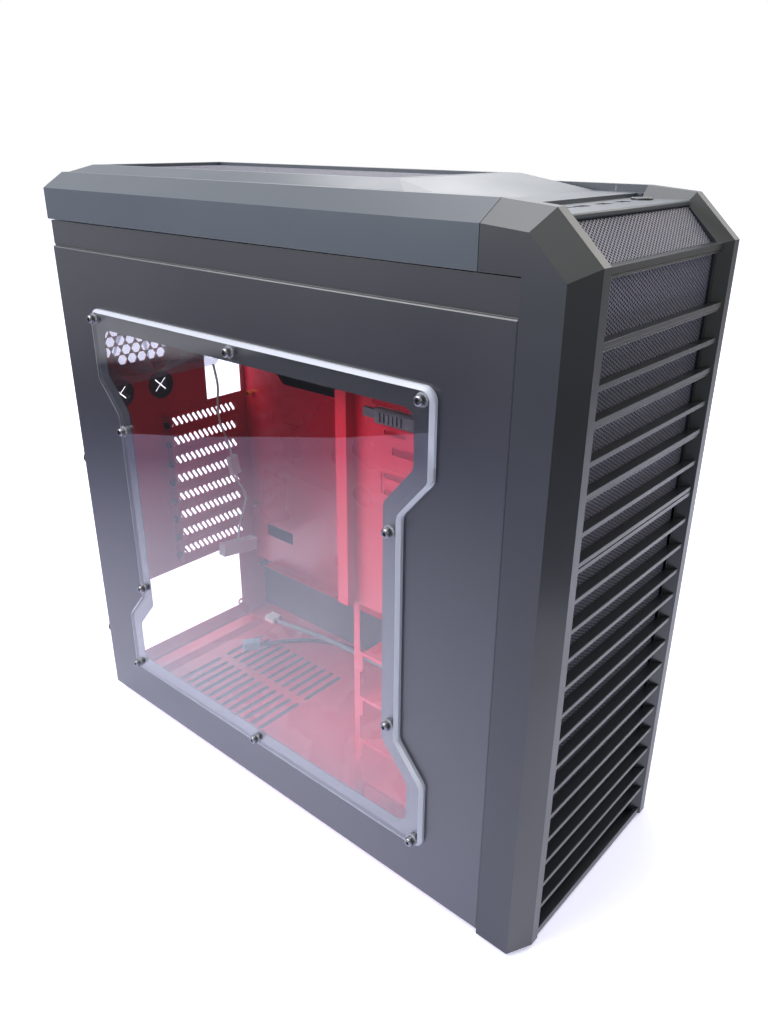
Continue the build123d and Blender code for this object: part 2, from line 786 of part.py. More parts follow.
def fan_frame():
    """Square fan housing with a round bore, four struts and a bearing boss."""
    half = fan_size / 2
    body = Rectangle(fan_size, fan_size)
    body = fillet(body.vertices(), fan_corner)
    frame = extrude(body, amount=fan_depth)
    frame -= Cylinder(fan_bore, 4 * fan_depth)
    waist = Cylinder(2 * fan_size, fan_depth - 8) - Cylinder(half + 1.5, fan_depth - 8)
    frame -= Pos(0, 0, fan_depth / 2) * waist
    for a in (-fan_hole_pitch / 2, fan_hole_pitch / 2):
        for b in (-fan_hole_pitch / 2, fan_hole_pitch / 2):
            frame -= Pos(a, b, 0) * Cylinder(fan_hole, 4 * fan_depth)
    low = (Align.CENTER, Align.CENTER, Align.MIN)
    frame += Cylinder(fan_hub, 2.5, align=low)
    frame += Cylinder(5.0, 12.0, align=low)
    for turn in range(4):
        strut = Pos((fan_hub + fan_bore) / 2, 0, 1.25) * Box(fan_bore - fan_hub + 3, 5, 2.5)
        frame += Rot(0, 0, 28 + 90 * turn) * strut
    frame -= Pos(0, 0, 4.0) * Cylinder(1.55, 12.0, align=low)
    return frame


def fan_rotor():
    """Hub cup, shaft and swept blades, free inside the housing."""
    low = (Align.CENTER, Align.CENTER, Align.MIN)
    cup_low = 3.2
    cup_top = fan_depth - 1.0
    cup = Pos(0, 0, cup_low) * Cylinder(fan_hub - 0.5, cup_top - cup_low, align=low)
    cup -= Pos(0, 0, cup_low - 1) * Cylinder(fan_hub - 2.5, cup_top - cup_low - 1, align=low)
    cup = fillet(cup.edges().sort_by(Axis.Z)[-1], 1.5)
    cup += Pos(0, 0, 5.0) * Cylinder(1.5, cup_top - 6.0, align=low)
    tip = fan_bore - tip_gap
    for turn in range(fan_blades):
        profiles = []
        for radius, chord, pitch, sweep in ((fan_hub - 1.5, 19, 48, 0), (45, 30, 36, 6),
                                            (tip, 38, 26, 14)):
            spot = Rot(0, 0, sweep) * Pos(radius, 0, fan_depth / 2 + 1) * Rot(0, 90, 0)
            profiles.append(spot * Rot(0, 0, pitch) * Rectangle(1.8, chord))
        blade = loft(profiles)
        blade = blade & (Pos(0, 0, cup_low) * Cylinder(tip, cup_top - cup_low, align=low))
        cup += Rot(0, 0, turn * 360 / fan_blades) * blade
    return cup


def on_rear(shape):
    return Plane(origin=(rear_fan_x, rear_inner, rear_fan_height), x_dir=(1, 0, 0),
                 z_dir=(0, -1, 0)) * shape


def on_front(shape):
    return Plane(origin=(0, front_inner + fan_depth, front_fan_height), x_dir=(1, 0, 0),
                 z_dir=(0, -1, 0)) * shape


def on_roof(shape):
    return Pos(0, top_fan_y, roof_top) * shape


# The front bezel

def cheek_profiles(inset):
    """Side view outlines of the bezel's column at four places across it, outermost first."""
    stations = []
    foot = bezel_ground_gap + inset
    back = bezel_wrap + inset
    drop = cheek_top - inset

    def outline(x, depth, top, knee):
        front = inset - depth
        mid = top - (back - knee) * top_fall
        low = mid - (knee - front) * nose_fall
        return [(x, back, foot), (x, back, top), (x, knee, mid), (x, front, low), (x, front, foot)]

    side = inset - moulding_side
    stations += outline(side, shoulder_depth, drop, inset - 2.6)
    crest = side + column_face - 0.4 * inset
    stations += outline(crest, nose_depth, crest_top - inset, inset - 6.7)
    stations += outline(side + column_face + crest_width - 1.4 * inset, nose_depth,
                        crest_top - inset, inset - 6.7)
    stations += outline(-opening_side - inset, reveal_depth, crest_top - reveal - inset,
                        inset - 3.6)
    return stations


def bezel_column():
    """The hollow left column with its cheek over the chassis strip."""
    column = ConvexPolyhedron(cheek_profiles(0.0))
    column -= ConvexPolyhedron(cheek_profiles(moulding))
    wide = (-moulding_side - 1, 1 - opening_side)
    column -= block(wide, (0, bezel_wrap + 9), (bezel_ground_gap - 1, cover_bottom))
    return column


def bezel_peg_places():
    return [(side * (opening_side + 12), z) for side in (-1, 1) for z in (40.0, 230.0, 420.0)]


def across(front, back, z, gap):
    """A slab between the columns, flared in front of the reveal's foot as the reveal is."""
    side = opening_side - gap
    flare = side + reveal * (front - reveal_depth) / (nose_depth - reveal_depth)
    half = [(flare, -front, z[0]), (side, -reveal_depth, z[0]), (side, -back, z[0])]
    outline = half + [(-x, y, low) for x, y, low in reversed(half)]
    return prism(outline, (0, 0, 1), z[1] - z[0])


def louvre(z, gap):
    """One bar across the front, its top sloping back and down."""
    bar = across(bar_front, bar_front - bar_depth, (z, z + bar_height), gap)
    back = 1.1 * bar_depth - bar_front
    wide = moulding_side
    wedge = [(-wide, -bar_front, z + bar_height), (-wide, back, z + bar_height + 1),
             (-wide, back, z + bar_height - 1.1 * bar_slope)]
    return bar - prism(wedge, (1, 0, 0), 2 * wide)


def front_bezel():
    pieces = list(both_sides(bezel_column()))
    kink_z = nose_foot() - kink_drop
    span = (-opening_side - 1, opening_side + 1)
    pieces.append(across(kink_front, kink_back, (kink_z - kink_height, kink_z), -0.5))
    pieces.append(block(span, (-3.4, -0.9), (strip_top - 10, lip_low() - lip_gap)))
    foot = (bezel_ground_gap, bezel_ground_gap + moulding)
    pieces.append(across(bar_front, 0, foot, -0.5))
    foot = (bezel_ground_gap, bezel_ground_gap + bezel_foot)
    pieces.append(across(bar_front, bar_front - moulding, foot, -0.5))
    pieces.append(block(span, (-mesh_depth + 1.5, -0.5), (grille_top - 2.5, grille_top)))
    bezel = one(pieces)
    for x, z in bezel_peg_places():
        side = 1 if x > 0 else -1
        foot = block(sorted((side * opening_side, x + side * 5)), (-moulding, 0), (z - 6, z + 6))
        bezel += foot
        bezel += rod((x, -1, z), (0, 1, 0), peg_radius, peg_length)
    return bezel


def lip_low():
    """Underside of the port strip's front edge."""
    return strip_top - strip_lip


def nose_foot():
    """Height of the crest's lower kink."""
    mid = crest_top - (bezel_wrap + 6.7) * top_fall
    return mid - (nose_depth - 6.7) * nose_fall


def lower_grille():
    """Louvres over the lower intake, in one moulding with two side rails."""
    first = grille_low + grille_first
    pitch = (grille_top - bar_height - first) / (grille_bars - 1)
    bars = [louvre(first + index * pitch, grille_gap) for index in range(grille_bars)]
    rail = block((grille_gap - opening_side, 2.2 - opening_side), (-reveal_depth, -mesh_depth),
                 (grille_low + grille_gap, grille_top))
    return one(bars + list(both_sides(rail)))


def bezel_mesh():
    """Perforated sheets of the bezel: the upright lower one and the slanted top one."""
    width = opening_side - grille_gap
    lower = block((-width, width), (-mesh_depth, mesh_sheet - mesh_depth),
                  (grille_low + grille_gap, grille_top))
    return [lower, extrude(Plane(origin=(-width, 0, 0), x_dir=(0, 1, 0), z_dir=(1, 0, 0))
                           * make_face(Polyline(*slanted_outline(), close=True)),
                           amount=2 * width)]


def slanted_outline():
    """Section of the slanted mesh, from under the port strip's lip to behind the kink bar."""
    high = (-5.0, lip_low() - lip_gap)
    low = (0.3 - kink_back, nose_foot() - kink_drop)
    run, rise = high[0] - low[0], high[1] - low[1]
    scale = mesh_sheet / sqrt(run ** 2 + rise ** 2)
    shift = (rise * scale, -run * scale)
    return [high, low, (low[0] + shift[0], low[1] + shift[1]),
            (high[0] + shift[0], high[1] + shift[1])]


def bay_cover(bay):
    """Frame and louvres of one drive bay's cover, and its mesh."""
    side = opening_side - cover_gap
    low = bay_bottom + bay * bay_pitch
    high = low + bay_pitch - cover_gap
    front = cover_front
    if bay == bay_count - 1:
        high = nose_foot() - kink_drop - kink_height - cover_gap
        front = kink_front - cover_lip
    back = cover_depth - bar_front + bar_depth
    body = (-reveal_depth, back)
    frame = block((-side, side), body, (low, high))
    frame -= block((cover_wall - side, side - cover_wall), (body[0] - 1, back + 1),
                   (low + cover_wall, high - cover_wall))
    frame += across(front, mesh_depth, (high - cover_wall, high), cover_gap)
    frame += louvre(low, cover_gap)
    if bay < bay_count - 1:
        frame += louvre(low + (bay_pitch - bar_height) / 2, cover_gap)
    ledge = block((-side, side), (mesh_sheet - mesh_depth, mesh_sheet - mesh_depth + 1.5),
                  (low, high))
    ledge -= block((4 - side, side - 4), (-40, 0), (low + 4, high - 4))
    frame += ledge
    inner = side - cover_wall
    mesh = block((-inner, inner), (-mesh_depth, mesh_sheet - mesh_depth),
                 (low + cover_wall, high - cover_wall))
    return frame, mesh


# The top cover and its ports

def cover_section(y, inset):
    """Half hexagon of the cover across the case at one place along it."""
    side = moulding_side - inset
    ridge = moulding_side - column_face + 0.4 * inset
    return [(-side, y, cover_bottom), (-side, y, cheek_top - 0.6 * inset),
            (-ridge, y, crest_top - inset), (ridge, y, crest_top - inset),
            (side, y, cheek_top - 0.6 * inset), (side, y, cover_bottom)]


def plateau(inset):
    """The raised middle, sloping to the ridges and down to the port strip."""
    top = plateau_top - inset
    ridge = crest_top - inset
    edge = moulding_side - plateau_edge
    side = moulding_side - ridge_edge - 1.0
    back = panel_back - inset
    low = trough - inset - 2
    points = [(edge, plateau_front, top), (edge, plateau_back, top),
              (side, plateau_front - 17, ridge), (side, back, ridge),
              (side - 4, ramp_foot, trough - inset), (side, back, low), (side - 4, ramp_foot, low)]
    return ConvexPolyhedron([(sign * x, y, z) for x, y, z in points for sign in (-1, 1)])


def cover_peg_places():
    return [(side * (opening_side + 11), y) for side in (-1, 1) for y in cover_peg_rows]


def top_cover():
    front = bezel_wrap + fit_gap
    shell = prism(cover_section(front, 0.0), (0, 1, 0), panel_back - front)
    hollow = prism(cover_section(front - 1, moulding), (0, 1, 0),
                   panel_back - moulding - front + 1)
    side = moulding_side - ridge_edge
    dip = block((-side, side), (front - 1, plateau_front + 20), (trough, crest_top + 5))
    floor = block((-side - 3, side + 3), (front - 1, plateau_front + 20),
                  (trough - moulding, crest_top + 5))
    outside = (shell - dip) + plateau(0.0)
    inside = (hollow - floor) + plateau(moulding)
    below = block((-side, side), (front - 1, panel_back - moulding), (cover_bottom - 5, 482))
    cover = outside - inside - below
    half = opening_side - fit_gap
    cover -= block((-half - fit_gap, half + fit_gap), (front - 1, strip_back),
                   (cover_bottom, crest_top + 9))
    strip = block((-half, half), (strip_front, strip_back + moulding),
                  (strip_top - moulding, strip_top))
    strip += block((-half, half), (strip_front, strip_front + strip_lip_thick),
                   (lip_low(), strip_top))
    nose = strip.edges().filter_by(Axis.X).group_by(Axis.Y)[0]
    cover += fillet(nose, min(strip_round, 0.45 * strip_lip, 0.8 * strip_lip_thick))
    cover += block((-half, half), (strip_back, strip_back + moulding), (strip_top - 6, trough - 0.1))
    edge = moulding_side - plateau_edge - top_mesh_margin
    cover -= block((-edge, edge), (plateau_front + 14, plateau_back - 10),
                   (plateau_top - moulding - 1, plateau_top + 1))
    deep = (strip_top - moulding - 1, strip_top + 1)
    for x in usb_places():
        cover -= block((x - usb_width / 2 - fit_gap, x + usb_width / 2 + fit_gap),
                       (port_y - usb_depth / 2 - fit_gap, port_y + usb_depth / 2 + fit_gap), deep)
    for x in jack_places():
        cover -= rod((x, port_y, deep[0]), (0, 0, 1), jack_radius + fit_gap, 6)
    cover -= rod((power_x, port_y, deep[0]), (0, 0, 1), power_radius + 0.3, 6)
    cover -= rod((reset_x, port_y, deep[0]), (0, 0, 1), reset_radius + 0.3, 6)
    for x, y in cover_peg_places():
        foot = roof_top - peg_length
        cover += rod((x, y, foot), (0, 0, 1), peg_radius, crest_top - 1.0 - foot)
    return cover


def top_mesh():
    edge = moulding_side - plateau_edge - top_mesh_margin + 3
    return block((-edge, edge), (plateau_front + 11, plateau_back - 7),
                 (plateau_top - moulding - mesh_sheet, plateau_top - moulding))


def usb_places():
    return [-22.0, 4.0, 28.0]


def jack_places():
    return [-44.0, -36.0]


def port_board():
    """Circuit board with its switches, on a moulded carrier."""
    wide = (-opening_side + 6, opening_side - 6)
    board = block(wide, (4, 30), (board_height, board_height + board_thick))
    top = board_height + board_thick
    low_stop = strip_top - moulding - 1.8 - button_travel - 2.1
    for x in (power_x, reset_x):
        board += block((x - 3, x + 3), (port_y - 3, port_y + 3), (top, low_stop - 1.5))
        board += rod((x, port_y, low_stop - 1.6), (0, 0, 1), 1.6, 1.6)
    carrier = block(wide, (4, 30), (board_height - 2, board_height))
    for x in wide:
        leg = (x, x + 6) if x < 0 else (x - 6, x)
        carrier += block(leg, (4, 30), (roof_top, board_height - 2))
    return board, carrier


def ports():
    """Socket shells that stand on the board and reach up through the cover."""
    shapes = []
    low = board_height + board_thick
    for x in usb_places():
        shell = block((x - usb_width / 2, x + usb_width / 2),
                      (port_y - usb_depth / 2, port_y + usb_depth / 2), (low, strip_top - 0.5))
        wall = 0.6
        shell -= block((x - usb_width / 2 + wall, x + usb_width / 2 - wall),
                       (port_y - usb_depth / 2 + wall, port_y + usb_depth / 2 - wall),
                       (low + 2, strip_top))
        shell += block((x - usb_width / 2 + 1.2, x + usb_width / 2 - 1.2),
                       (port_y - 2.0, port_y - 0.2), (low + 1, strip_top - 2))
        shapes.append(shell)
    for x in jack_places():
        jack = rod((x, port_y, low), (0, 0, 1), jack_radius, strip_top - 0.3 - low)
        jack -= rod((x, port_y, low + 1), (0, 0, 1), 1.8, 20)
        shapes.append(jack)
    return shapes


def push_button(x, radius):
    """Cap with a collar that stops it under the cover."""
    under = strip_top - moulding - 0.3
    button = rod((x, port_y, under - 1.5), (0, 0, 1), radius, strip_top + button_stand - under + 1.5)
    button = fillet(button.edges().sort_by(Axis.Z)[-1], 0.6)
    button += rod((x, port_y, under - 1.5), (0, 0, 1), radius + 1.5, 1.5)
    button += rod((x, port_y, under - 3.3), (0, 0, 1), 2.0, 2.0)
    return button


# Dust filter under the power supply

def dust_filter():
    top = floor_bottom - fit_gap
    low = top - filter_thick
    back = rear_face
    front = back - filter_length
    x0 = filter_x - filter_width / 2
    x1 = filter_x + filter_width / 2
    frame = block((x0, x1), (front, back), (low, top))
    frame -= block((x0 + 6, x1 - 6), (front + 6, back - 6), (low - 1, top + 1))
    for index in (1, 2):
        y = front + index * filter_length / 3
        frame += block((x0, x1), (y - 1.5, y + 1.5), (low, top))
    frame += block((x0 + 6, x1 - 6), (front + 6, back - 6), (low + 0.9, low + 1.4))
    frame += block((filter_x - 22, filter_x + 22), (back, back + 6), (low - 1.5, top - 0.5))
    return frame


# Leads: straight runs joined by tangent arcs

def lead(points, radius):
    """A round lead along the route, each corner rounded as far as its runs allow."""
    route = [Vector(*point) for point in points]
    radii = []
    for before, at, after in zip(route, route[1:], route[2:]):
        run = min((at - before).length, (after - at).length)
        turn = radians((at - before).get_angle(after - at))
        radii.append(0.45 * run * cos(turn / 2) / sin(turn / 2))
    print("lead radii", [round(value, 1) for value in radii])
    path = FilletPolyline(*route, radius=radii)
    section = Plane(origin=path @ 0, z_dir=path % 0) * Circle(radius)
    return sweep(section, path=path)


fan_lead_radius = 1.2
port_lead_radius = 2.2
switch_lead_radius = 2.5
floor_lead_gap = 0.2
fan_lead_exit = (32.5, rear_inner - fan_depth + 2.0, rear_fan_height - fan_size / 2)

rear_fan_route = [fan_lead_exit, (34.0, 432.5, 309.0), (33.5, 429.5, 298.0),
                  (30.0, 427.5, 286.0), (30.0, 428.5, 272.0), (33.0, 429.5, 258.0),
                  (37.5, 428.5, 245.0), (41.0, 428.0, 233.0), (43.0, 428.0, 221.9)]
adaptor_route = [(46.5, 428.0, 202.1), (48.4, 428.0, 192.0), (54.0, 427.5, 183.5),
                 (58.5, 427.5, 172.5), (55.5, 428.0, 161.0), (50.0, 428.0, 149.5),
                 (46.0, 428.5, 137.5), (43.6, 428.5, 124.6)]
lead_down = [(89.0, 71.0, 466.0), (94.0, 71.5, 447.0), (95.5, 72.0, 408.0), (94.0, 73.0, 362.0),
             (95.0, 72.0, 315.0), (96.5, 72.5, 266.0), (95.0, 74.0, 218.0), (95.5, 73.0, 170.0),
             (97.0, 74.0, 122.0), (96.0, 75.0, 76.0)]


def port_lead_route():
    """From the port board, over the roof, down behind the cages and out under the tray."""
    floor = floor_top + port_lead_radius + floor_lead_gap
    start = board_height + board_thick + 2.6
    route = [(58.0, 30.0, start), (59.0, 43.0, start - 0.5), (65.0, 56.0, start - 4.0),
             (76.0, 66.0, start - 9.0)]
    route += lead_down
    route += [(97.0, 82.0, 40.0), (96.0, 97.0, 21.0), (97.0, 122.0, floor),
              (95.5, 160.0, floor), (97.0, 205.0, floor), (96.0, 250.0, floor),
              (98.0, 290.0, floor), (94.0, 323.0, floor), (82.0, 348.0, floor),
              (66.0, 367.0, floor), (49.0, 380.0, floor), (34.0, 390.0, floor)]
    return route


def switch_lead_route():
    """The switch and lamp leads, bound together, beside the port lead."""
    floor = floor_top + switch_lead_radius + floor_lead_gap
    hump = floor + 2 * port_lead_radius + 2 * switch_lead_radius
    start = board_height + board_thick + 3.0
    route = [(45.0, 30.0, start), (46.5, 44.0, start - 1.5), (54.0, 59.0, start - 7.0),
             (69.0, 71.0, start - 11.0)]
    route += [(x - 4.0 + 0.02 * (z - 76.0) / 2, y + 9.0, z - 4.0) for x, y, z in lead_down]
    route += [(90.0, 92.0, 36.0), (89.5, 108.0, 21.0), (88.5, 134.0, floor),
              (90.0, 172.0, floor), (88.5, 212.0, floor), (89.5, 252.0, floor + 1.0),
              (87.0, 290.0, floor + 4.0), (82.0, 318.0, hump - 1.5), (78.0, 342.0, hump),
              (75.0, 370.0, hump - 0.5), (76.0, 392.0, hump - 4.5), (80.0, 411.0, floor)]
    return route


def fan_connector():
    """Three-pin coupling between the fan's lead and its adaptor."""
    return Pos(44.75, 428.0, 212.0) * Rot(0, -10, 0) * Box(10.5, 6.0, 20.0)


def power_plug():
    """Four-pin supply plug hanging from the adaptor."""
    return Pos(43.5, 428.5, 118.0) * Rot(0, 8, 0) * Box(44.0, 10.0, 13.0)


def port_plug():
    """Socket on the end of the port lead, lying on the floor."""
    turn = Rot(0, 0, 146.3)
    return Pos(26.0, 395.4, floor_top + 4.2) * turn * Box(18.0, 10.0, 8.0)


def switch_plugs():
    """Small header sockets on the switch leads, side by side."""
    shapes = []
    for index in range(4):
        x = 75.5 + index * 3.6
        shapes.append(Pos(x, 421.0 + 1.5 * (index % 2), floor_top + 3.0) * Box(3.0, 14.0, 5.0))
    return shapes


def build():
    screws, washers, nuts = window_fasteners()
    covers = [bay_cover(bay) for bay in range(bay_count)]
    board, carrier = port_board()
    parts = {
        "floor_pan": floor_pan(),
        "rear_panel": rear_panel(),
        "motherboard_tray": motherboard_tray(),
        "roof_frame": roof_frame(),
        "front_frame": front_frame(),
        "bay_cage_left": bay_cage(-1),
        "bay_cage_right": bay_cage(1),
        "drive_cage": drive_cage(),
        "slot_covers": slot_covers(),
        "chassis_screws": chassis_screws(),
        "hose_grommets": hose_grommets(),
        "feet": feet(),
        "standoffs": standoffs(),
        "rear_fan_frame": on_rear(fan_frame()),
        "top_fan_frame": on_roof(fan_frame()),
        "front_fan_frame": on_front(fan_frame()),
        "rear_fan_rotor": on_rear(fan_rotor()),
        "top_fan_rotor": on_roof(fan_rotor()),
        "front_fan_rotor": on_front(fan_rotor()),
        "port_carrier": carrier,
        "port_board": board,
        "port_sockets": ports(),
        "power_button": push_button(power_x, power_radius),
        "reset_button": push_button(reset_x, reset_radius),
        "left_panel": window_panel(),
        "window_acrylic": window_acrylic(),
        "window_screws": screws,
        "window_washers": washers,
        "window_nuts": nuts,
        "right_panel": mirror(side_panel(), about=Plane.YZ),
        "front_bezel": front_bezel(),
        "lower_grille": lower_grille(),
        "bezel_mesh": bezel_mesh(),
        "top_cover": top_cover(),
        "top_mesh": top_mesh(),
        "psu_dust_filter": dust_filter(),
        "rear_fan_lead": lead(rear_fan_route, fan_lead_radius),
        "rear_fan_connector": fan_connector(),
        "adaptor_lead": lead(adaptor_route, fan_lead_radius),
        "adaptor_plug": power_plug(),
        "port_lead": lead(port_lead_route(), port_lead_radius),
        "port_lead_plug": port_plug(),
        "switch_leads": lead(switch_lead_route(), switch_lead_radius),
        "switch_lead_plugs": switch_plugs(),
    }
    for side, name in ((-1, "left"), (1, "right")):
        for height, level in zip(thumb_heights, ("lower", "upper")):
            parts[f"thumbscrew_{name}_{level}"] = thumbscrew(side, height)
    for bay, (frame, mesh) in enumerate(covers, start=1):
        parts[f"bay_cover_{bay}"] = frame
        parts[f"bay_mesh_{bay}"] = mesh
    for bay in latched_bays:
        parts[f"bay_latch_{bay}"] = bay_latch(bay)
    return parts


# The origin is on the ground, under the middle of the whole tower
left_end = -half_width - window_thickness - window_washer - window_head_height
right_end = moulding_side
front_end = -nose_depth
back_end = panel_back + 0.1 + thumb_head
origin = (-(left_end + right_end) / 2, -(front_end + back_end) / 2, 0)


def write(parts):
    os.makedirs("parts", exist_ok=True)
    for name, shape in parts.items():
        solids = shape if isinstance(shape, list) else [shape]
        moved = Pos(*origin) * Compound(children=[solid for item in solids
                                                  for solid in item.solids()])
        export_step(moved, f"parts/{name}.step")
        print(name, len(moved.solids()), [round(v, 1) for v in moved.bounding_box().size])


if __name__ == "__main__":
    write(build())
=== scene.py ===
import json
import math

import bmesh
import bpy
from mathutils import Matrix, Vector


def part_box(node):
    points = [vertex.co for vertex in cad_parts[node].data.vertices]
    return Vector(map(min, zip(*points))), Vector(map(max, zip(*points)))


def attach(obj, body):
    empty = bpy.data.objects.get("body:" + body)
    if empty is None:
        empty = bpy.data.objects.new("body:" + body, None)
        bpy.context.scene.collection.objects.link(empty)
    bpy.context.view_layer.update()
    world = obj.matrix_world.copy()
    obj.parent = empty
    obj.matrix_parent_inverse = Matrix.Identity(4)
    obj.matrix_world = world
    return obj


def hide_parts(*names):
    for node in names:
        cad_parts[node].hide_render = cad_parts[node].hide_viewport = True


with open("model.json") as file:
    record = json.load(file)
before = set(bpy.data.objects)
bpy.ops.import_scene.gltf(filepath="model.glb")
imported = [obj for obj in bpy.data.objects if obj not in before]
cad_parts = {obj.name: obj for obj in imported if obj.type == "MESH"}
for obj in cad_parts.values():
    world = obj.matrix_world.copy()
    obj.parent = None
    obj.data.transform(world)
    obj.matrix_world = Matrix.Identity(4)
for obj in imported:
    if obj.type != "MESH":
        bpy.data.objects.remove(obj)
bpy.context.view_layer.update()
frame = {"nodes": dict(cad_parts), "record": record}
cadNodes = frame["nodes"]
bodyGroups = frame["record"]["behaviour"]["bodies"]
bodyOf = {node: body for body, group in bodyGroups.items() for node in group}
mm = 0.001
print("frame loaded,", len(cadNodes), "nodes")


def srgb(code, alpha=1.0):
    channels = [int(code[i:i + 2], 16) / 255 for i in (1, 3, 5)]
    linear = [c / 12.92 if c <= 0.04045 else ((c + 0.055) / 1.055) ** 2.4 for c in channels]
    return (*linear, alpha)


def addNode(tree, kind, values=None, links=None, **settings):
    node = tree.nodes.new(kind)
    for name, value in settings.items():
        setattr(node, name, value)
    for socket, value in (values or {}).items():
        node.inputs[socket].default_value = value
    for socket, source in (links or {}).items():
        tree.links.new(source, node.inputs[socket])
    return node


def newMaterial(name):
    material = bpy.data.materials.new(name)
    material.use_nodes = True
    tree = material.node_tree
    tree.nodes.clear()
    out = addNode(tree, "ShaderNodeOutputMaterial")
    coord = addNode(tree, "ShaderNodeTexCoord")
    return material, tree, out, coord.outputs["Object"]


def uneven(tree, place, scale, detail, low, high, fromLow=0.0, fromHigh=1.0):
    # a value that drifts between low and high over the surface
    cloud = addNode(tree, "ShaderNodeTexNoise", {"Scale": scale, "Detail": detail},
                    {"Vector": place})
    drift = addNode(tree, "ShaderNodeMapRange", {"From Min": fromLow, "From Max": fromHigh,
                    "To Min": low, "To Max": high}, {"Value": cloud.outputs["Fac"]})
    return drift.outputs["Result"]


def mirrorRays(tree):
    # the rays that a shiny or clear surface sends on
    path = addNode(tree, "ShaderNodeLightPath")
    shiny = addNode(tree, "ShaderNodeMath", None, {0: path.outputs["Is Glossy Ray"],
                    1: path.outputs["Is Transmission Ray"]}, operation="MAXIMUM")
    return path, shiny


def dress(piece, *materials):
    piece.data.materials.clear()
    for material in materials:
        piece.data.materials.append(material)


def link(name, data):
    piece = bpy.data.objects.new(name, data)
    bpy.context.scene.collection.objects.link(piece)
    return piece


# the tower is looked at from its left front corner, a little from above
cameraSet = {
    "place": (-0.47172, -0.44794, 0.52709),
    "look": (0.68832, 0.60008, -0.40758),
    "right": (0.65887, -0.75224, 0.00519),
    "lens": 29.69,
    "sensor": 36.0,
}
look = Vector(cameraSet["look"]).normalized()
right = Vector(cameraSet["right"]).normalized()
up = right.cross(look).normalized()
cameraData = bpy.data.cameras.new("camera")
cameraData.lens = cameraSet["lens"]
cameraData.sensor_width = cameraSet["sensor"]
cameraData.clip_start = 0.01
camera = link("camera", cameraData)
turn = Matrix((right, up, -look)).transposed().to_4x4()
camera.matrix_world = Matrix.Translation(cameraSet["place"]) @ turn
bpy.context.scene.camera = camera


def paintedSteel(name, tone, speck, roughness, grain=0.5, coat=0.0, coatRoughness=0.2,
                 specular=0.5, bump=0.05):
    # powder coat: a slight orange peel that breaks up the reflections, and a faint speckle
    material, tree, out, place = newMaterial(name)
    peel = addNode(tree, "ShaderNodeTexNoise", {"Scale": 1 / (grain * mm), "Detail": 2.0,
                   "Roughness": 0.5}, {"Vector": place})
    colour = addNode(tree, "ShaderNodeMix", {"A": srgb(tone), "B": srgb(speck)},
                     {"Factor": peel.outputs["Fac"]}, data_type="RGBA")
    rough = uneven(tree, place, 9.0, 3.0, roughness - 0.04, roughness + 0.04, 0.3, 0.7)
    relief = addNode(tree, "ShaderNodeBump", {"Strength": bump, "Distance": 0.1 * mm},
                     {"Height": peel.outputs["Fac"]})
    shader = addNode(tree, "ShaderNodeBsdfPrincipled", {"Coat Weight": coat,
                     "Coat Roughness": coatRoughness, "Specular IOR Level": specular},
                     {"Base Color": colour.outputs["Result"], "Roughness": rough,
                      "Normal": relief.outputs["Normal"]})
    tree.links.new(shader.outputs["BSDF"], out.inputs["Surface"])
    return material


def mouldedPlastic(name, tone, roughness, grain=0.5, bump=0.1, specular=0.5, subsurface=0.0):
    # spark-eroded mould texture: fine, even grain
    material, tree, out, place = newMaterial(name)
    texture = addNode(tree, "ShaderNodeTexVoronoi", {"Scale": 1 / (grain * mm)},
                      {"Vector": place})
    rough = uneven(tree, place, 14.0, 4.0, roughness - 0.04, roughness + 0.04, 0.3, 0.7)
    relief = addNode(tree, "ShaderNodeBump", {"Strength": bump, "Distance": 0.06 * mm},
                     {"Height": texture.outputs["Distance"]})
    shader = addNode(tree, "ShaderNodeBsdfPrincipled", {"Base Color": srgb(tone),
                     "Specular IOR Level": specular, "Subsurface Weight": subsurface,
                     "Subsurface Scale": 2 * mm},
                     {"Roughness": rough, "Normal": relief.outputs["Normal"]})
    tree.links.new(shader.outputs["BSDF"], out.inputs["Surface"])
    return material


def platedMetal(name, tone, roughness, grain=0.3):
    # plated or blackened metal: fine marks from tumbling soften its shine in places
    material, tree, out, place = newMaterial(name)
    rough = uneven(tree, place, 1 / (grain * mm), 3.0, roughness - 0.06, roughness + 0.08)
    shader = addNode(tree, "ShaderNodeBsdfPrincipled", {"Base Color": srgb(tone), "Metallic": 1.0},
                     {"Roughness": rough})
    tree.links.new(shader.outputs["BSDF"], out.inputs["Surface"])
    return material


def castAcrylic(name, tone, mirror=2.0):
    # clear cast sheet: lamps pass straight through it, its two polished faces mirror the room
    material, tree, out, place = newMaterial(name)
    path = addNode(tree, "ShaderNodeLightPath")
    smear = uneven(tree, place, 30.0, 4.0, 0.0, 0.02, 0.45, 0.85)
    shader = addNode(tree, "ShaderNodeBsdfPrincipled", {"Base Color": srgb(tone),
                     "Transmission Weight": 1.0, "IOR": 1.49, "Coat Weight": 1.0,
                     "Coat IOR": mirror, "Coat Roughness": 0.01}, {"Roughness": smear})
    clear = addNode(tree, "ShaderNodeBsdfTransparent", {"Color": srgb("#f4f6f8")})
    mix = addNode(tree, "ShaderNodeMixShader", None,
                  {0: path.outputs["Is Shadow Ray"], 1: shader.outputs["BSDF"],
                   2: clear.outputs["BSDF"]})
    tree.links.new(mix.outputs["Shader"], out.inputs["Surface"])
    return material


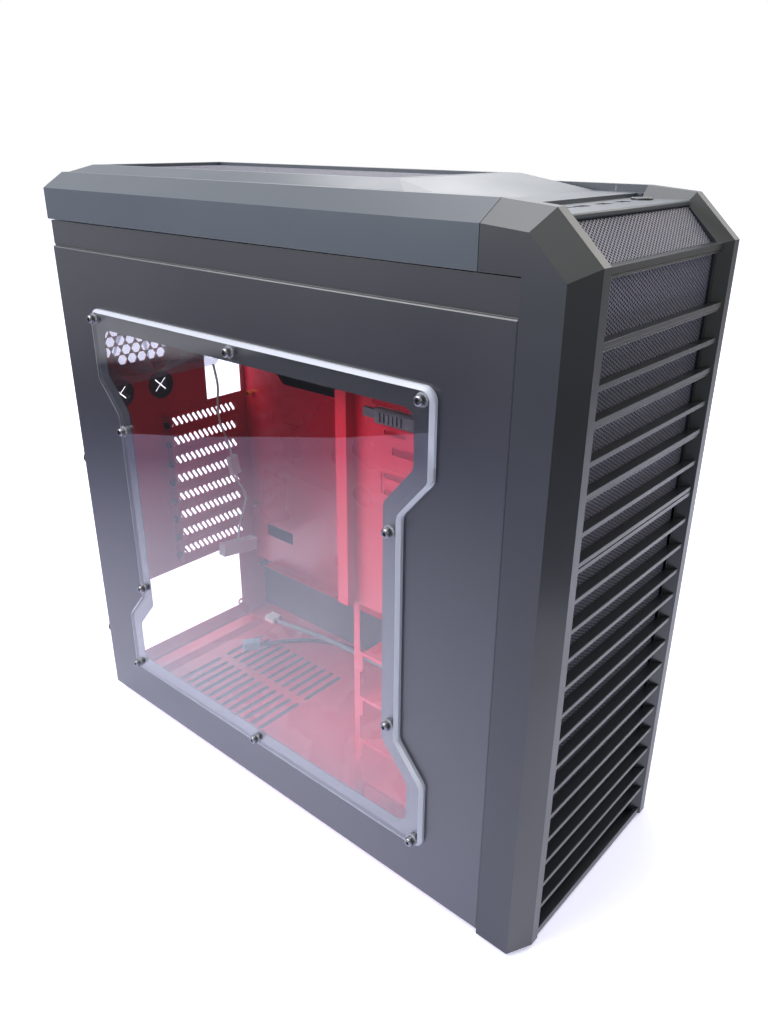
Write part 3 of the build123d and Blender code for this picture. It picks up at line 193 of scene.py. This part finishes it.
def tintedClear(name, tone, through, share, roughness=0.15):
    # see-through moulded plastic, partly milky: fan blades and wire sleeves; on the cut acrylic
    # edges the pale milky part is a painted highlight for their glint
    material, tree, out, place = newMaterial(name)
    rough = uneven(tree, place, 60.0, 2.0, roughness - 0.05, roughness + 0.05)
    body = addNode(tree, "ShaderNodeBsdfPrincipled", {"Base Color": srgb(tone),
                   "Specular IOR Level": 0.7}, {"Roughness": rough})
    clear = addNode(tree, "ShaderNodeBsdfTransparent", {"Color": srgb(through)})
    mix = addNode(tree, "ShaderNodeMixShader", {0: share},
                  {1: body.outputs["BSDF"], 2: clear.outputs["BSDF"]})
    tree.links.new(mix.outputs["Shader"], out.inputs["Surface"])
    return material


blackPowderCoat = paintedSteel("blackPowderCoat", "#12151f", "#181b26", 0.34, coat=0.8,
                               coatRoughness=0.28, specular=0.7)
redPowderCoat = paintedSteel("redPowderCoat", "#c2142e", "#ca1c36", 0.28, grain=0.8, coat=0.4,
                             bump=0.03)
blackSheetPaint = paintedSteel("blackSheetPaint", "#16161a", "#1d1d22", 0.42)
meshPaint = paintedSteel("meshPaint", "#646371", "#6e6e7b", 0.46, specular=0.35)
bezelAbs = mouldedPlastic("bezelAbs", "#24282e", 0.33, specular=0.7)
# the top cover is moulded from the same plastic as the bezel; its paler tone is painted light,
# standing in for the light and sheen that fall on the cover's sides from above left
coverAbsPaintedLight = mouldedPlastic("coverAbsPaintedLight", "#3f464f", 0.35, specular=0.6)
plainAbs = mouldedPlastic("plainAbs", "#1c1c1e", 0.45)
latchNylon = mouldedPlastic("latchNylon", "#5a5560", 0.42)
fanHousingPbt = mouldedPlastic("fanHousingPbt", "#161618", 0.42, grain=0.8)
fanRotorAbs = mouldedPlastic("fanRotorAbs", "#1a1a1c", 0.25, grain=0.8, bump=0.05)
milkyNylon = mouldedPlastic("milkyNylon", "#d8d0d2", 0.35, bump=0.05, subsurface=0.3)
blueConnectorNylon = mouldedPlastic("blueConnectorNylon", "#8fc0d2", 0.4, bump=0.05)
rubberBlack = mouldedPlastic("rubberBlack", "#131314", 0.7, grain=0.9, bump=0.25)
blackOxide = platedMetal("blackOxide", "#25252a", 0.26)
zincPlate = platedMetal("zincPlate", "#c9c9cf", 0.28)
brightNickel = platedMetal("brightNickel", "#85868c", 0.2)
brassTurned = platedMetal("brassTurned", "#d0a858", 0.25)
boardLacquer = mouldedPlastic("boardLacquer", "#123522", 0.3, bump=0.03)
blackPvc = mouldedPlastic("blackPvc", "#1b1b1d", 0.4, bump=0.02)
clearAcrylic = castAcrylic("clearAcrylic", "#fbfcfd", 1.5)
# a pale, mostly solid finish on the window's polished edges: a painted highlight for the bright
# glint along them
edgePaintedHighlight = tintedClear("edgePaintedHighlight", "#d3d7e4", "#e8ebf4", 0.25, 0.2)
clearNylon = tintedClear("clearNylon", "#c8c9cf", "#f4f4f7", 0.7, 0.2)
clearStyrene = tintedClear("clearStyrene", "#b4b4bd", "#f0f0f5", 0.78, 0.12)
smokySleeve = tintedClear("smokySleeve", "#ded5d8", "#e6dcde", 0.2, 0.25)
silverPvc = mouldedPlastic("silverPvc", "#8c8b92", 0.35, bump=0.02)
print("materials made")

nodeFinish = {
    "floor_pan": redPowderCoat, "rear_panel": redPowderCoat, "motherboard_tray": redPowderCoat,
    "bay_cage_left": redPowderCoat, "bay_cage_right": redPowderCoat, "drive_cage": redPowderCoat,
    "slot_covers": redPowderCoat, "front_frame": blackSheetPaint, "roof_frame": blackPowderCoat,
    "left_panel": blackPowderCoat, "right_panel": blackPowderCoat,
    "front_bezel": bezelAbs, "top_cover": coverAbsPaintedLight, "lower_grille": bezelAbs,
    "bezel_mesh": meshPaint, "top_mesh": meshPaint,
    "window_acrylic": clearAcrylic, "window_screws": brightNickel,
    "window_washers": clearNylon, "window_nuts": zincPlate, "chassis_screws": blackOxide,
    "hose_grommets": rubberBlack, "feet": rubberBlack, "standoffs": brassTurned,
    "rear_fan_frame": clearStyrene, "top_fan_frame": fanHousingPbt,
    "front_fan_frame": fanHousingPbt, "rear_fan_rotor": clearStyrene,
    "top_fan_rotor": fanRotorAbs, "front_fan_rotor": fanRotorAbs,
    "port_carrier": plainAbs, "port_board": boardLacquer, "port_sockets": zincPlate,
    "power_button": bezelAbs, "reset_button": bezelAbs, "psu_dust_filter": plainAbs,
    "rear_fan_lead": smokySleeve, "adaptor_lead": smokySleeve, "rear_fan_connector": milkyNylon,
    "adaptor_plug": milkyNylon, "port_lead": blackPvc, "port_lead_plug": blueConnectorNylon,
    "switch_leads": silverPvc, "switch_lead_plugs": milkyNylon,
}
for name, node in cadNodes.items():
    if name.startswith("bay_cover"):
        nodeFinish[name] = bezelAbs
    elif name.startswith("bay_mesh"):
        nodeFinish[name] = meshPaint
    elif name.startswith("bay_latch"):
        nodeFinish[name] = latchNylon
    elif name.startswith("thumbscrew"):
        nodeFinish[name] = blackOxide
    dress(node, nodeFinish[name])


mergeSet = {"reach": 0.002, "flat": 0.5}


def mergedCopy(nodeName):
    # a CAD mesh is loose triangles, so a copy is merged before it is shaped
    bm = bmesh.new()
    bm.from_mesh(cadNodes[nodeName].data)
    bmesh.ops.remove_doubles(bm, verts=bm.verts, dist=mergeSet["reach"] * mm)
    bmesh.ops.dissolve_limit(bm, angle_limit=math.radians(mergeSet["flat"]), verts=bm.verts,
                             edges=bm.edges)
    return bm


def standFor(piece, nodeName):
    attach(piece, bodyOf[nodeName])
    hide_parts(nodeName)


# rounded edges in mm, from an angle in degrees; the side panels' long corners are rounder
softSet = {
    "angle": 28.0, "segments": 2, "bayCover": 0.35,
    "panelFold": 1.1, "foldFrom": 100.0, "foldSegments": 3,
    "width": {"front_bezel": 0.9, "top_cover": 0.8, "lower_grille": 0.35, "left_panel": 0.3,
              "right_panel": 0.3, "roof_frame": 0.25},
}


def softened(nodeName, width, fold=0.0):
    # the mouldings' rounded corners and the panels' folds catch the light
    near = 0.01 * mm
    bm = mergedCopy(nodeName)
    if fold:
        outer = max(abs(v.co.x) for v in bm.verts)
        ends = [v.co.z for v in bm.verts if abs(v.co.x) > outer - near]
        high, low = max(ends), min(ends)
        corners = [e for e in bm.edges if e.calc_length() > softSet["foldFrom"] * mm
                   and all(abs(v.co.x) > outer - near for v in e.verts)
                   and all(min(abs(v.co.z - high), abs(v.co.z - low)) < near for v in e.verts)]
        bmesh.ops.bevel(bm, geom=corners, offset=fold * mm, segments=softSet["foldSegments"],
                        profile=0.5, affect="EDGES", material=-1, clamp_overlap=True)
    mesh = bpy.data.meshes.new(nodeName + "Soft")
    bm.to_mesh(mesh)
    bm.free()
    piece = link(nodeName + "Soft", mesh)
    dress(piece, nodeFinish[nodeName])
    bevel = piece.modifiers.new("roundedEdges", "BEVEL")
    bevel.width = width * mm
    bevel.segments = softSet["segments"]
    bevel.limit_method = "ANGLE"
    bevel.angle_limit = math.radians(softSet["angle"])
    bevel.use_clamp_overlap = True
    bevel.harden_normals = False
    standFor(piece, nodeName)


windowSet = {"standOff": 0.15, "bevel": 0.35, "sharp": 28.0, "shortest": 6.0, "flat": 0.995}


def windowSheet():
    # the sheet stands a hair off the steel, and its bevels and cut edges are polished; they get a
    # pale finish, a painted highlight for their glint
    bm = mergedCopy("window_acrylic")
    back = max(v.co.x for v in bm.verts)
    for vert in bm.verts:
        if vert.co.x > back - 0.01 * mm:
            vert.co.x -= windowSet["standOff"] * mm
    bm.normal_update()
    rims = [e for e in bm.edges if len(e.link_faces) == 2
            and e.calc_face_angle(0) > math.radians(windowSet["sharp"])
            and e.calc_length() > windowSet["shortest"] * mm]
    bmesh.ops.bevel(bm, geom=rims, offset=windowSet["bevel"] * mm, segments=2, profile=0.5,
                    affect="EDGES", material=-1, clamp_overlap=True)
    mesh = bpy.data.meshes.new("windowSheet")
    bm.to_mesh(mesh)
    bm.free()
    piece = link("windowSheet", mesh)
    dress(piece, clearAcrylic, edgePaintedHighlight)
    for face in mesh.polygons:
        face.material_index = 0 if abs(face.normal.x) > windowSet["flat"] else 1
    standFor(piece, "window_acrylic")


# perforated sheet with staggered round holes, in mm; each hole is drawn as a hexagon that is
# a little wider, which keeps the open area about right
perforationSet = {"pitch": 2.4, "hole": 1.65, "hexagon": 1.08, "thick": 0.7, "join": 0.02,
                  "cut": 0.005}


def perforated(name, width, height, place):
    # width and height in mm; the sheet lies in its own XY plane with a corner at zero
    pitch = perforationSet["pitch"]
    bm = bmesh.new()
    bmesh.ops.create_circle(bm, segments=6, radius=pitch / math.sqrt(3))
    bmesh.ops.create_circle(bm, segments=6,
                            radius=perforationSet["hole"] / 2 * perforationSet["hexagon"])
    bmesh.ops.bridge_loops(bm, edges=bm.edges)
    bmesh.ops.rotate(bm, verts=bm.verts, matrix=Matrix.Rotation(math.radians(30), 3, "Z"))
    step = Vector((pitch * math.sqrt(3) / 2, pitch / 2, 0))
    cell = bm.faces[:]
    for row in range(1, int(height / pitch) + 3):
        more = bmesh.ops.duplicate(bm, geom=cell)["geom"]
        moved = [v for v in more if isinstance(v, bmesh.types.BMVert)]
        bmesh.ops.translate(bm, verts=moved, vec=(0, row * pitch, 0))
    column = bm.faces[:]
    for index in range(1, int(width / step.x) + 3):
        more = bmesh.ops.duplicate(bm, geom=column)["geom"]
        moved = [v for v in more if isinstance(v, bmesh.types.BMVert)]
        bmesh.ops.translate(bm, verts=moved, vec=(index * step.x, -step.y * (index % 2), 0))
    bmesh.ops.remove_doubles(bm, verts=bm.verts, dist=perforationSet["join"])
    for corner, way in (((0, 0, 0), (-1, 0, 0)), ((width, 0, 0), (1, 0, 0)),
                        ((0, 0, 0), (0, -1, 0)), ((0, height, 0), (0, 1, 0))):
        bmesh.ops.bisect_plane(bm, geom=bm.verts[:] + bm.edges[:] + bm.faces[:],
                               dist=perforationSet["cut"], plane_co=corner, plane_no=way,
                               clear_outer=True)
    bmesh.ops.transform(bm, verts=bm.verts, matrix=place @ Matrix.Scale(mm, 4))
    bmesh.ops.recalc_face_normals(bm, faces=bm.faces)
    mesh = bpy.data.meshes.new(name)
    bm.to_mesh(mesh)
    bm.free()
    if mesh.polygons[0].normal.dot(place.col[2].xyz) < 0:
        mesh.flip_normals()
    piece = link(name, mesh)
    wall = piece.modifiers.new("sheet", "SOLIDIFY")
    wall.thickness = perforationSet["thick"] * mm
    wall.offset = -1
    dress(piece, meshPaint)
    return piece


# a sweep of white paper with a cut edge: it reads white, and keeps the tower's shadow where it
# is near; in the window and the paint, the part on the left grows darker with distance;
# places and distances in m
stageSet = {"paper": "#e9ebf7", "glow": "#eceaff", "lift": 0.5, "clearFrom": 0.35, "clearAt": 1.2,
            "farPaper": "#707088", "mirrorGlow": "#c9c8ff", "mirrorNear": 0.55, "mirrorFar": 0.04,
            "near": 0.15, "far": 0.95, "leftOf": -0.1,
            "edge": [(-1.6, -0.2), (-1.0, -0.72), (9.0, -0.72), (9.0, 9.0), (0.2, 9.0),
                     (-0.35, 1.2), (-0.587, 0.928), (-0.661, 0.82), (-0.737, 0.735),
                     (-0.835, 0.618), (-0.979, 0.504), (-1.6, 0.1)]}


def paperFloor():
    floorBm = bmesh.new()
    floorBm.faces.new([floorBm.verts.new((x, y, 0)) for x, y in stageSet["edge"]])
    bmesh.ops.triangulate(floorBm, faces=floorBm.faces[:])
    floorMesh = bpy.data.meshes.new("paperFloor")
    floorBm.to_mesh(floorMesh)
    floorBm.free()
    floor = link("paperFloor", floorMesh)
    floorPaper, tree, out, place = newMaterial("floorPaper")
    path, shiny = mirrorRays(tree)
    split = addNode(tree, "ShaderNodeSeparateXYZ", None, {0: place})
    flat = addNode(tree, "ShaderNodeCombineXYZ", None,
                   {"X": split.outputs["X"], "Y": split.outputs["Y"]})
    reach = addNode(tree, "ShaderNodeVectorMath", None, {0: flat.outputs["Vector"]},
                    operation="LENGTH")
    fade = addNode(tree, "ShaderNodeMapRange", {"From Min": stageSet["near"],
                   "From Max": stageSet["far"], "To Min": 1.0, "To Max": 0.0},
                   {"Value": reach.outputs["Value"]})
    leftSide = addNode(tree, "ShaderNodeMath", {1: stageSet["leftOf"]}, {0: split.outputs["X"]},
                       operation="LESS_THAN")
    mirrorLift = addNode(tree, "ShaderNodeMapRange", {"To Min": stageSet["mirrorFar"],
                         "To Max": stageSet["mirrorNear"]}, {"Value": fade.outputs["Result"]})
    mirrorPart = addNode(tree, "ShaderNodeMath", None, {0: leftSide.outputs[0],
                         1: shiny.outputs[0]}, operation="MULTIPLY")
    clearing = addNode(tree, "ShaderNodeMapRange", {"From Min": stageSet["clearFrom"],
                       "From Max": stageSet["clearAt"], "To Min": stageSet["lift"], "To Max": 1.0},
                       {"Value": reach.outputs["Value"]})
    level = addNode(tree, "ShaderNodeMix", None, {"Factor": mirrorPart.outputs[0],
                    "A": clearing.outputs["Result"], "B": mirrorLift.outputs["Result"]})
    seen = addNode(tree, "ShaderNodeMath", None, {0: path.outputs["Is Camera Ray"],
                   1: shiny.outputs[0]}, operation="MAXIMUM")
    lift = addNode(tree, "ShaderNodeMath", None, {0: seen.outputs[0], 1: level.outputs["Result"]},
                   operation="MULTIPLY")
    dim = addNode(tree, "ShaderNodeMath", None, {0: mirrorPart.outputs[0],
                  1: fade.outputs["Result"]}, operation="MULTIPLY")
    away = addNode(tree, "ShaderNodeMath", None, {0: mirrorPart.outputs[0], 1: dim.outputs[0]},
                   operation="SUBTRACT")
    tone = addNode(tree, "ShaderNodeMix", {"A": srgb(stageSet["paper"]),
                   "B": srgb(stageSet["farPaper"])}, {"Factor": away.outputs[0]}, data_type="RGBA")
    paper = addNode(tree, "ShaderNodeBsdfDiffuse", None, {"Color": tone.outputs["Result"]})
    glowTone = addNode(tree, "ShaderNodeMix", {"A": srgb(stageSet["glow"]),
                       "B": srgb(stageSet["mirrorGlow"])}, {"Factor": mirrorPart.outputs[0]},
                       data_type="RGBA")
    glow = addNode(tree, "ShaderNodeEmission", None, {"Color": glowTone.outputs["Result"],
                   "Strength": lift.outputs[0]})
    both = addNode(tree, "ShaderNodeAddShader", None, {0: paper.outputs[0], 1: glow.outputs[0]})
    tree.links.new(both.outputs[0], out.inputs["Surface"])
    dress(floor, floorPaper)


paperFloor()

# the studio: white behind the tower, a dark strip past the paper's edge, pale walls above it,
# and a warmer side in front; what the window and the paint mirror lies to the left
studioSet = {"fill": 0.52, "fillTone": "#eef0fa",
             "front": "#efe9d2", "frontFrom": -0.1, "frontFull": -0.4,
             "walls": [(0.0, "#101013"), (0.384, "#42424a"), (0.388, "#bcbcc4"),
                       (0.5, "#b4b6be"), (0.62, "#eaecf2"), (0.8, "#fbfbff")]}


def studioWorld():
    world = bpy.data.worlds.new("studio")
    bpy.context.scene.world = world
    world.use_nodes = True
    tree = world.node_tree
    tree.nodes.clear()
    out = addNode(tree, "ShaderNodeOutputWorld")
    path, shiny = mirrorRays(tree)
    coord = addNode(tree, "ShaderNodeTexCoord")
    split = addNode(tree, "ShaderNodeSeparateXYZ", None, {0: coord.outputs["Generated"]})
    height = addNode(tree, "ShaderNodeMapRange", {"From Min": -1.0, "From Max": 1.0},
                     {"Value": split.outputs["Z"]})
    ramp = addNode(tree, "ShaderNodeValToRGB", None, {"Fac": height.outputs["Result"]})
    stops = studioSet["walls"]
    ramp.color_ramp.elements[0].position = stops[0][0]
    ramp.color_ramp.elements[0].color = srgb(stops[0][1])
    ramp.color_ramp.elements[1].position = stops[-1][0]
    ramp.color_ramp.elements[1].color = srgb(stops[-1][1])
    for position, code in stops[1:-1]:
        ramp.color_ramp.elements.new(position).color = srgb(code)
    front = addNode(tree, "ShaderNodeMapRange", {"From Min": studioSet["frontFrom"],
                    "From Max": studioSet["frontFull"]}, {"Value": split.outputs["Y"]})
    room = addNode(tree, "ShaderNodeMix", {"B": srgb(studioSet["front"])},
                   {"Factor": front.outputs["Result"], "A": ramp.outputs["Color"]},
                   data_type="RGBA", blend_type="MULTIPLY")
    plain = addNode(tree, "ShaderNodeBackground", {"Color": srgb("#ffffff"), "Strength": 1.0})
    fill = addNode(tree, "ShaderNodeBackground", {"Color": srgb(studioSet["fillTone"]),
                   "Strength": studioSet["fill"]})
    mirrored = addNode(tree, "ShaderNodeBackground", {"Strength": 1.0},
                       {"Color": room.outputs["Result"]})
    leftward = addNode(tree, "ShaderNodeMath", {1: 0.0}, {0: split.outputs["X"]},
                       operation="LESS_THAN")
    through = addNode(tree, "ShaderNodeMath", None, {0: path.outputs["Is Transmission Ray"],
                      1: leftward.outputs[0]}, operation="SUBTRACT")
    seen = addNode(tree, "ShaderNodeMath", None, {0: path.outputs["Is Camera Ray"],
                   1: through.outputs[0]}, operation="MAXIMUM")
    pick = addNode(tree, "ShaderNodeMixShader", None, {0: shiny.outputs[0],
                   1: fill.outputs[0], 2: mirrored.outputs[0]})
    pick = addNode(tree, "ShaderNodeMixShader", None, {0: seen.outputs[0], 1: pick.outputs[0],
                   2: plain.outputs[0]})
    tree.links.new(pick.outputs[0], out.inputs["Surface"])


studioWorld()

lampSet = [
    {"name": "topSoftbox", "place": (0.0, 0.1, 1.9), "aim": (0, 0, 0.2), "size": 1.5,
     "power": 16.0, "tone": "#ffffff"},
    {"name": "frontSoftbox", "place": (1.35, -0.9, 1.45), "aim": (0, 0, 0.3), "size": 1.3,
     "power": 15.0, "tone": "#fffaf0"},
    {"name": "backSoftbox", "place": (1.25, 0.85, 1.5), "aim": (0, 0, 0.4), "size": 1.2,
     "power": 9.0, "tone": "#ffffff"},
    {"name": "leftSoftbox", "place": (-1.38, 0.88, 1.38), "aim": (0, 0, 0.2), "size": 2.0,
     "power": 46.0, "tone": "#ffffff"},
]
for lamp in lampSet:
    data = bpy.data.lights.new(lamp["name"], "AREA")
    data.shape = "DISK"
    data.size = lamp["size"]
    data.energy = lamp["power"]
    data.color = srgb(lamp["tone"])[:3]
    light = link(lamp["name"], data)
    light.location = lamp["place"]
    way = Vector(lamp["aim"]) - Vector(lamp["place"])
    light.rotation_euler = way.to_track_quat("-Z", "Y").to_euler()
bpy.context.scene.view_settings.view_transform = "Standard"
print("stage set")

# the leads follow the same points as the drawing, in mm from its zero
drawingZero = Vector((4.55, -215.6, 0))


def leadCurve(name, points, diameter, material):
    data = bpy.data.curves.new(name, "CURVE")
    data.dimensions = "3D"
    data.bevel_depth = diameter / 2 * mm
    data.bevel_resolution = 4
    data.resolution_u = 10
    data.use_fill_caps = True
    spline = data.splines.new("NURBS")
    spline.points.add(len(points) - 1)
    for spot, point in zip(spline.points, points):
        spot.co = (*((Vector(point) + drawingZero) * mm), 1)
    spline.order_u = 3
    spline.use_endpoint_u = True
    piece = link(name, data)
    dress(piece, material)
    return piece


# the case floor's upper face, the port board's upper face, and the leads that lie on them
floorTop, boardTop = 10.4, 479.6
floorGap = 0.2
portRadius, switchRadius = 2.2, 2.5
portFloor = floorTop + portRadius + floorGap
switchFloor = floorTop + switchRadius + floorGap
portStart, switchStart = boardTop + 2.6, boardTop + 3.0
hump = switchFloor + 2 * portRadius + 2 * switchRadius
leadDown = [(89.0, 71.0, 466.0), (94.0, 71.5, 447.0), (95.5, 72.0, 408.0), (94.0, 73.0, 362.0),
            (95.0, 72.0, 315.0), (96.5, 72.5, 266.0), (95.0, 74.0, 218.0), (95.5, 73.0, 170.0),
            (97.0, 74.0, 122.0), (96.0, 75.0, 76.0)]
leadSet = {
    "fanLead": {
        "node": "rear_fan_lead", "diameter": 2.4, "finish": smokySleeve,
        "stiffness": "limp", "lay": "hanging", "far": "connector",
        "on": ["rear_fan_connector"],
        "points": [(32.5, 433.5, 320.0), (34.0, 432.5, 309.0), (33.5, 429.5, 298.0),
                   (30.0, 427.5, 286.0), (30.0, 428.5, 272.0), (33.0, 429.5, 258.0),
                   (37.5, 428.5, 245.0), (41.0, 428.0, 233.0), (43.0, 428.0, 221.9)]},
    "adaptorLead": {
        "node": "adaptor_lead", "diameter": 2.4, "finish": smokySleeve,
        "stiffness": "limp", "lay": "hanging", "far": "plug", "on": ["adaptor_plug"],
        "points": [(46.5, 428.0, 202.1), (48.4, 428.0, 192.0), (54.0, 427.5, 183.5),
                   (58.5, 427.5, 172.5), (55.5, 428.0, 161.0), (50.0, 428.0, 149.5),
                   (46.0, 428.5, 137.5), (43.6, 428.5, 124.6)]},
    "portLead": {
        "node": "port_lead", "diameter": 2 * portRadius, "finish": blackPvc,
        "stiffness": "limp", "lay": "loose", "far": "connector", "on": ["port_lead_plug"],
        "points": [(58.0, 30.0, portStart), (59.0, 43.0, portStart - 0.5),
                   (65.0, 56.0, portStart - 4.0), (76.0, 66.0, portStart - 9.0)] + leadDown + [
                   (97.0, 82.0, 40.0), (96.0, 97.0, 21.0), (97.0, 122.0, portFloor),
                   (95.5, 160.0, portFloor), (97.0, 205.0, portFloor), (96.0, 250.0, portFloor),
                   (98.0, 290.0, portFloor), (94.0, 323.0, portFloor), (82.0, 348.0, portFloor),
                   (66.0, 367.0, portFloor), (49.0, 380.0, portFloor), (34.0, 390.0, portFloor)]},
    "switchLead": {
        "node": "switch_leads", "diameter": 2 * switchRadius, "finish": silverPvc,
        "stiffness": "limp", "lay": "loose", "far": "connector", "on": ["switch_lead_plugs"],
        "points": [(45.0, 30.0, switchStart), (46.5, 44.0, switchStart - 1.5),
                   (54.0, 59.0, switchStart - 7.0), (69.0, 71.0, switchStart - 11.0)]
                  + [(x - 4.0 + 0.01 * (z - 76.0), y + 9.0, z - 4.0) for x, y, z in leadDown]
                  + [(90.0, 92.0, 36.0), (89.5, 108.0, 21.0), (88.5, 134.0, switchFloor),
                     (90.0, 172.0, switchFloor), (88.5, 212.0, switchFloor),
                     (89.5, 252.0, switchFloor + 1.0), (87.0, 290.0, switchFloor + 4.0),
                     (82.0, 318.0, hump - 1.5), (78.0, 342.0, hump), (75.0, 370.0, hump - 0.5),
                     (76.0, 392.0, hump - 4.5), (80.0, 411.0, switchFloor)]},
}


def splineLength(piece):
    # the length along the middle of a cord, without its thickness
    line = piece.copy()
    line.data = piece.data.copy()
    line.data.bevel_depth = 0
    bpy.context.scene.collection.objects.link(line)
    bpy.context.view_layer.update()
    graph = bpy.context.evaluated_depsgraph_get()
    mesh = bpy.data.meshes.new_from_object(line.evaluated_get(graph))
    total = sum((mesh.vertices[e.vertices[0]].co - mesh.vertices[e.vertices[1]].co).length
                for e in mesh.edges)
    bpy.data.meshes.remove(mesh)
    bpy.data.objects.remove(line)
    return total


for name, lead in leadSet.items():
    piece = leadCurve(name, lead["points"], lead["diameter"], lead["finish"])
    length = splineLength(piece)
    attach(piece, "chassis")
    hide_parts(lead["node"])
    print(name, "length", round(length, 3))


for nodeName, width in softSet["width"].items():
    softened(nodeName, width, softSet["panelFold"] if nodeName.endswith("_panel") else 0.0)
for nodeName in cadNodes:
    if nodeName.startswith("bay_cover"):
        softened(nodeName, softSet["bayCover"])
windowSheet()
print("edges softened")


def upright(low):
    return Matrix.Translation(low) @ Matrix.Rotation(math.radians(90), 4, "X")


def bayMeshes():
    for nodeName in [n for n in cadNodes if n.startswith("bay_mesh")]:
        low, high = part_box(nodeName)
        piece = perforated("perforated" + nodeName[-1], (high.x - low.x) / mm,
                           (high.z - low.z) / mm, upright(low))
        standFor(piece, nodeName)


def topMesh():
    # in two halves, one behind the other
    low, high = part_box("top_mesh")
    half = (high.y - low.y) / 2
    for index in (0, 1):
        corner = Vector((low.x, low.y + index * half, high.z))
        piece = perforated(f"topPerforated{index + 1}", (high.x - low.x) / mm, half / mm,
                           Matrix.Translation(corner))
        standFor(piece, "top_mesh")


def bezelMeshes():
    # the upright sheet in two halves, and the slanted one under the port strip
    spots = [v.co.copy() for v in cadNodes["bezel_mesh"].data.vertices]
    left, rightEnd = min(s.x for s in spots), max(s.x for s in spots)
    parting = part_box("bay_cover_1")[0].z
    lower = [s for s in spots if s.z < parting]
    upper = [s for s in spots if s.z > parting]
    low, high = min(s.z for s in lower), max(s.z for s in lower)
    front = min(s.y for s in lower)
    half = (high - low) / 2
    for index in (0, 1):
        corner = Vector((left, front, low + index * half))
        piece = perforated(f"intakePerforated{index + 1}", (rightEnd - left) / mm, half / mm,
                           upright(corner))
        standFor(piece, "bezel_mesh")
    top = max(upper, key=lambda s: s.z)
    foot = min(upper, key=lambda s: s.y)
    rise = Vector((0, top.y - foot.y, top.z - foot.z))
    along = rise.normalized()
    outwards = Vector((1, 0, 0)).cross(along)
    place = Matrix((Vector((1, 0, 0)), along, outwards)).transposed().to_4x4()
    place.translation = (left, foot.y, foot.z)
    piece = perforated("slantedPerforated", (rightEnd - left) / mm, rise.length / mm, place)
    standFor(piece, "bezel_mesh")


bayMeshes()
topMesh()
bezelMeshes()
print("perforated sheets made")
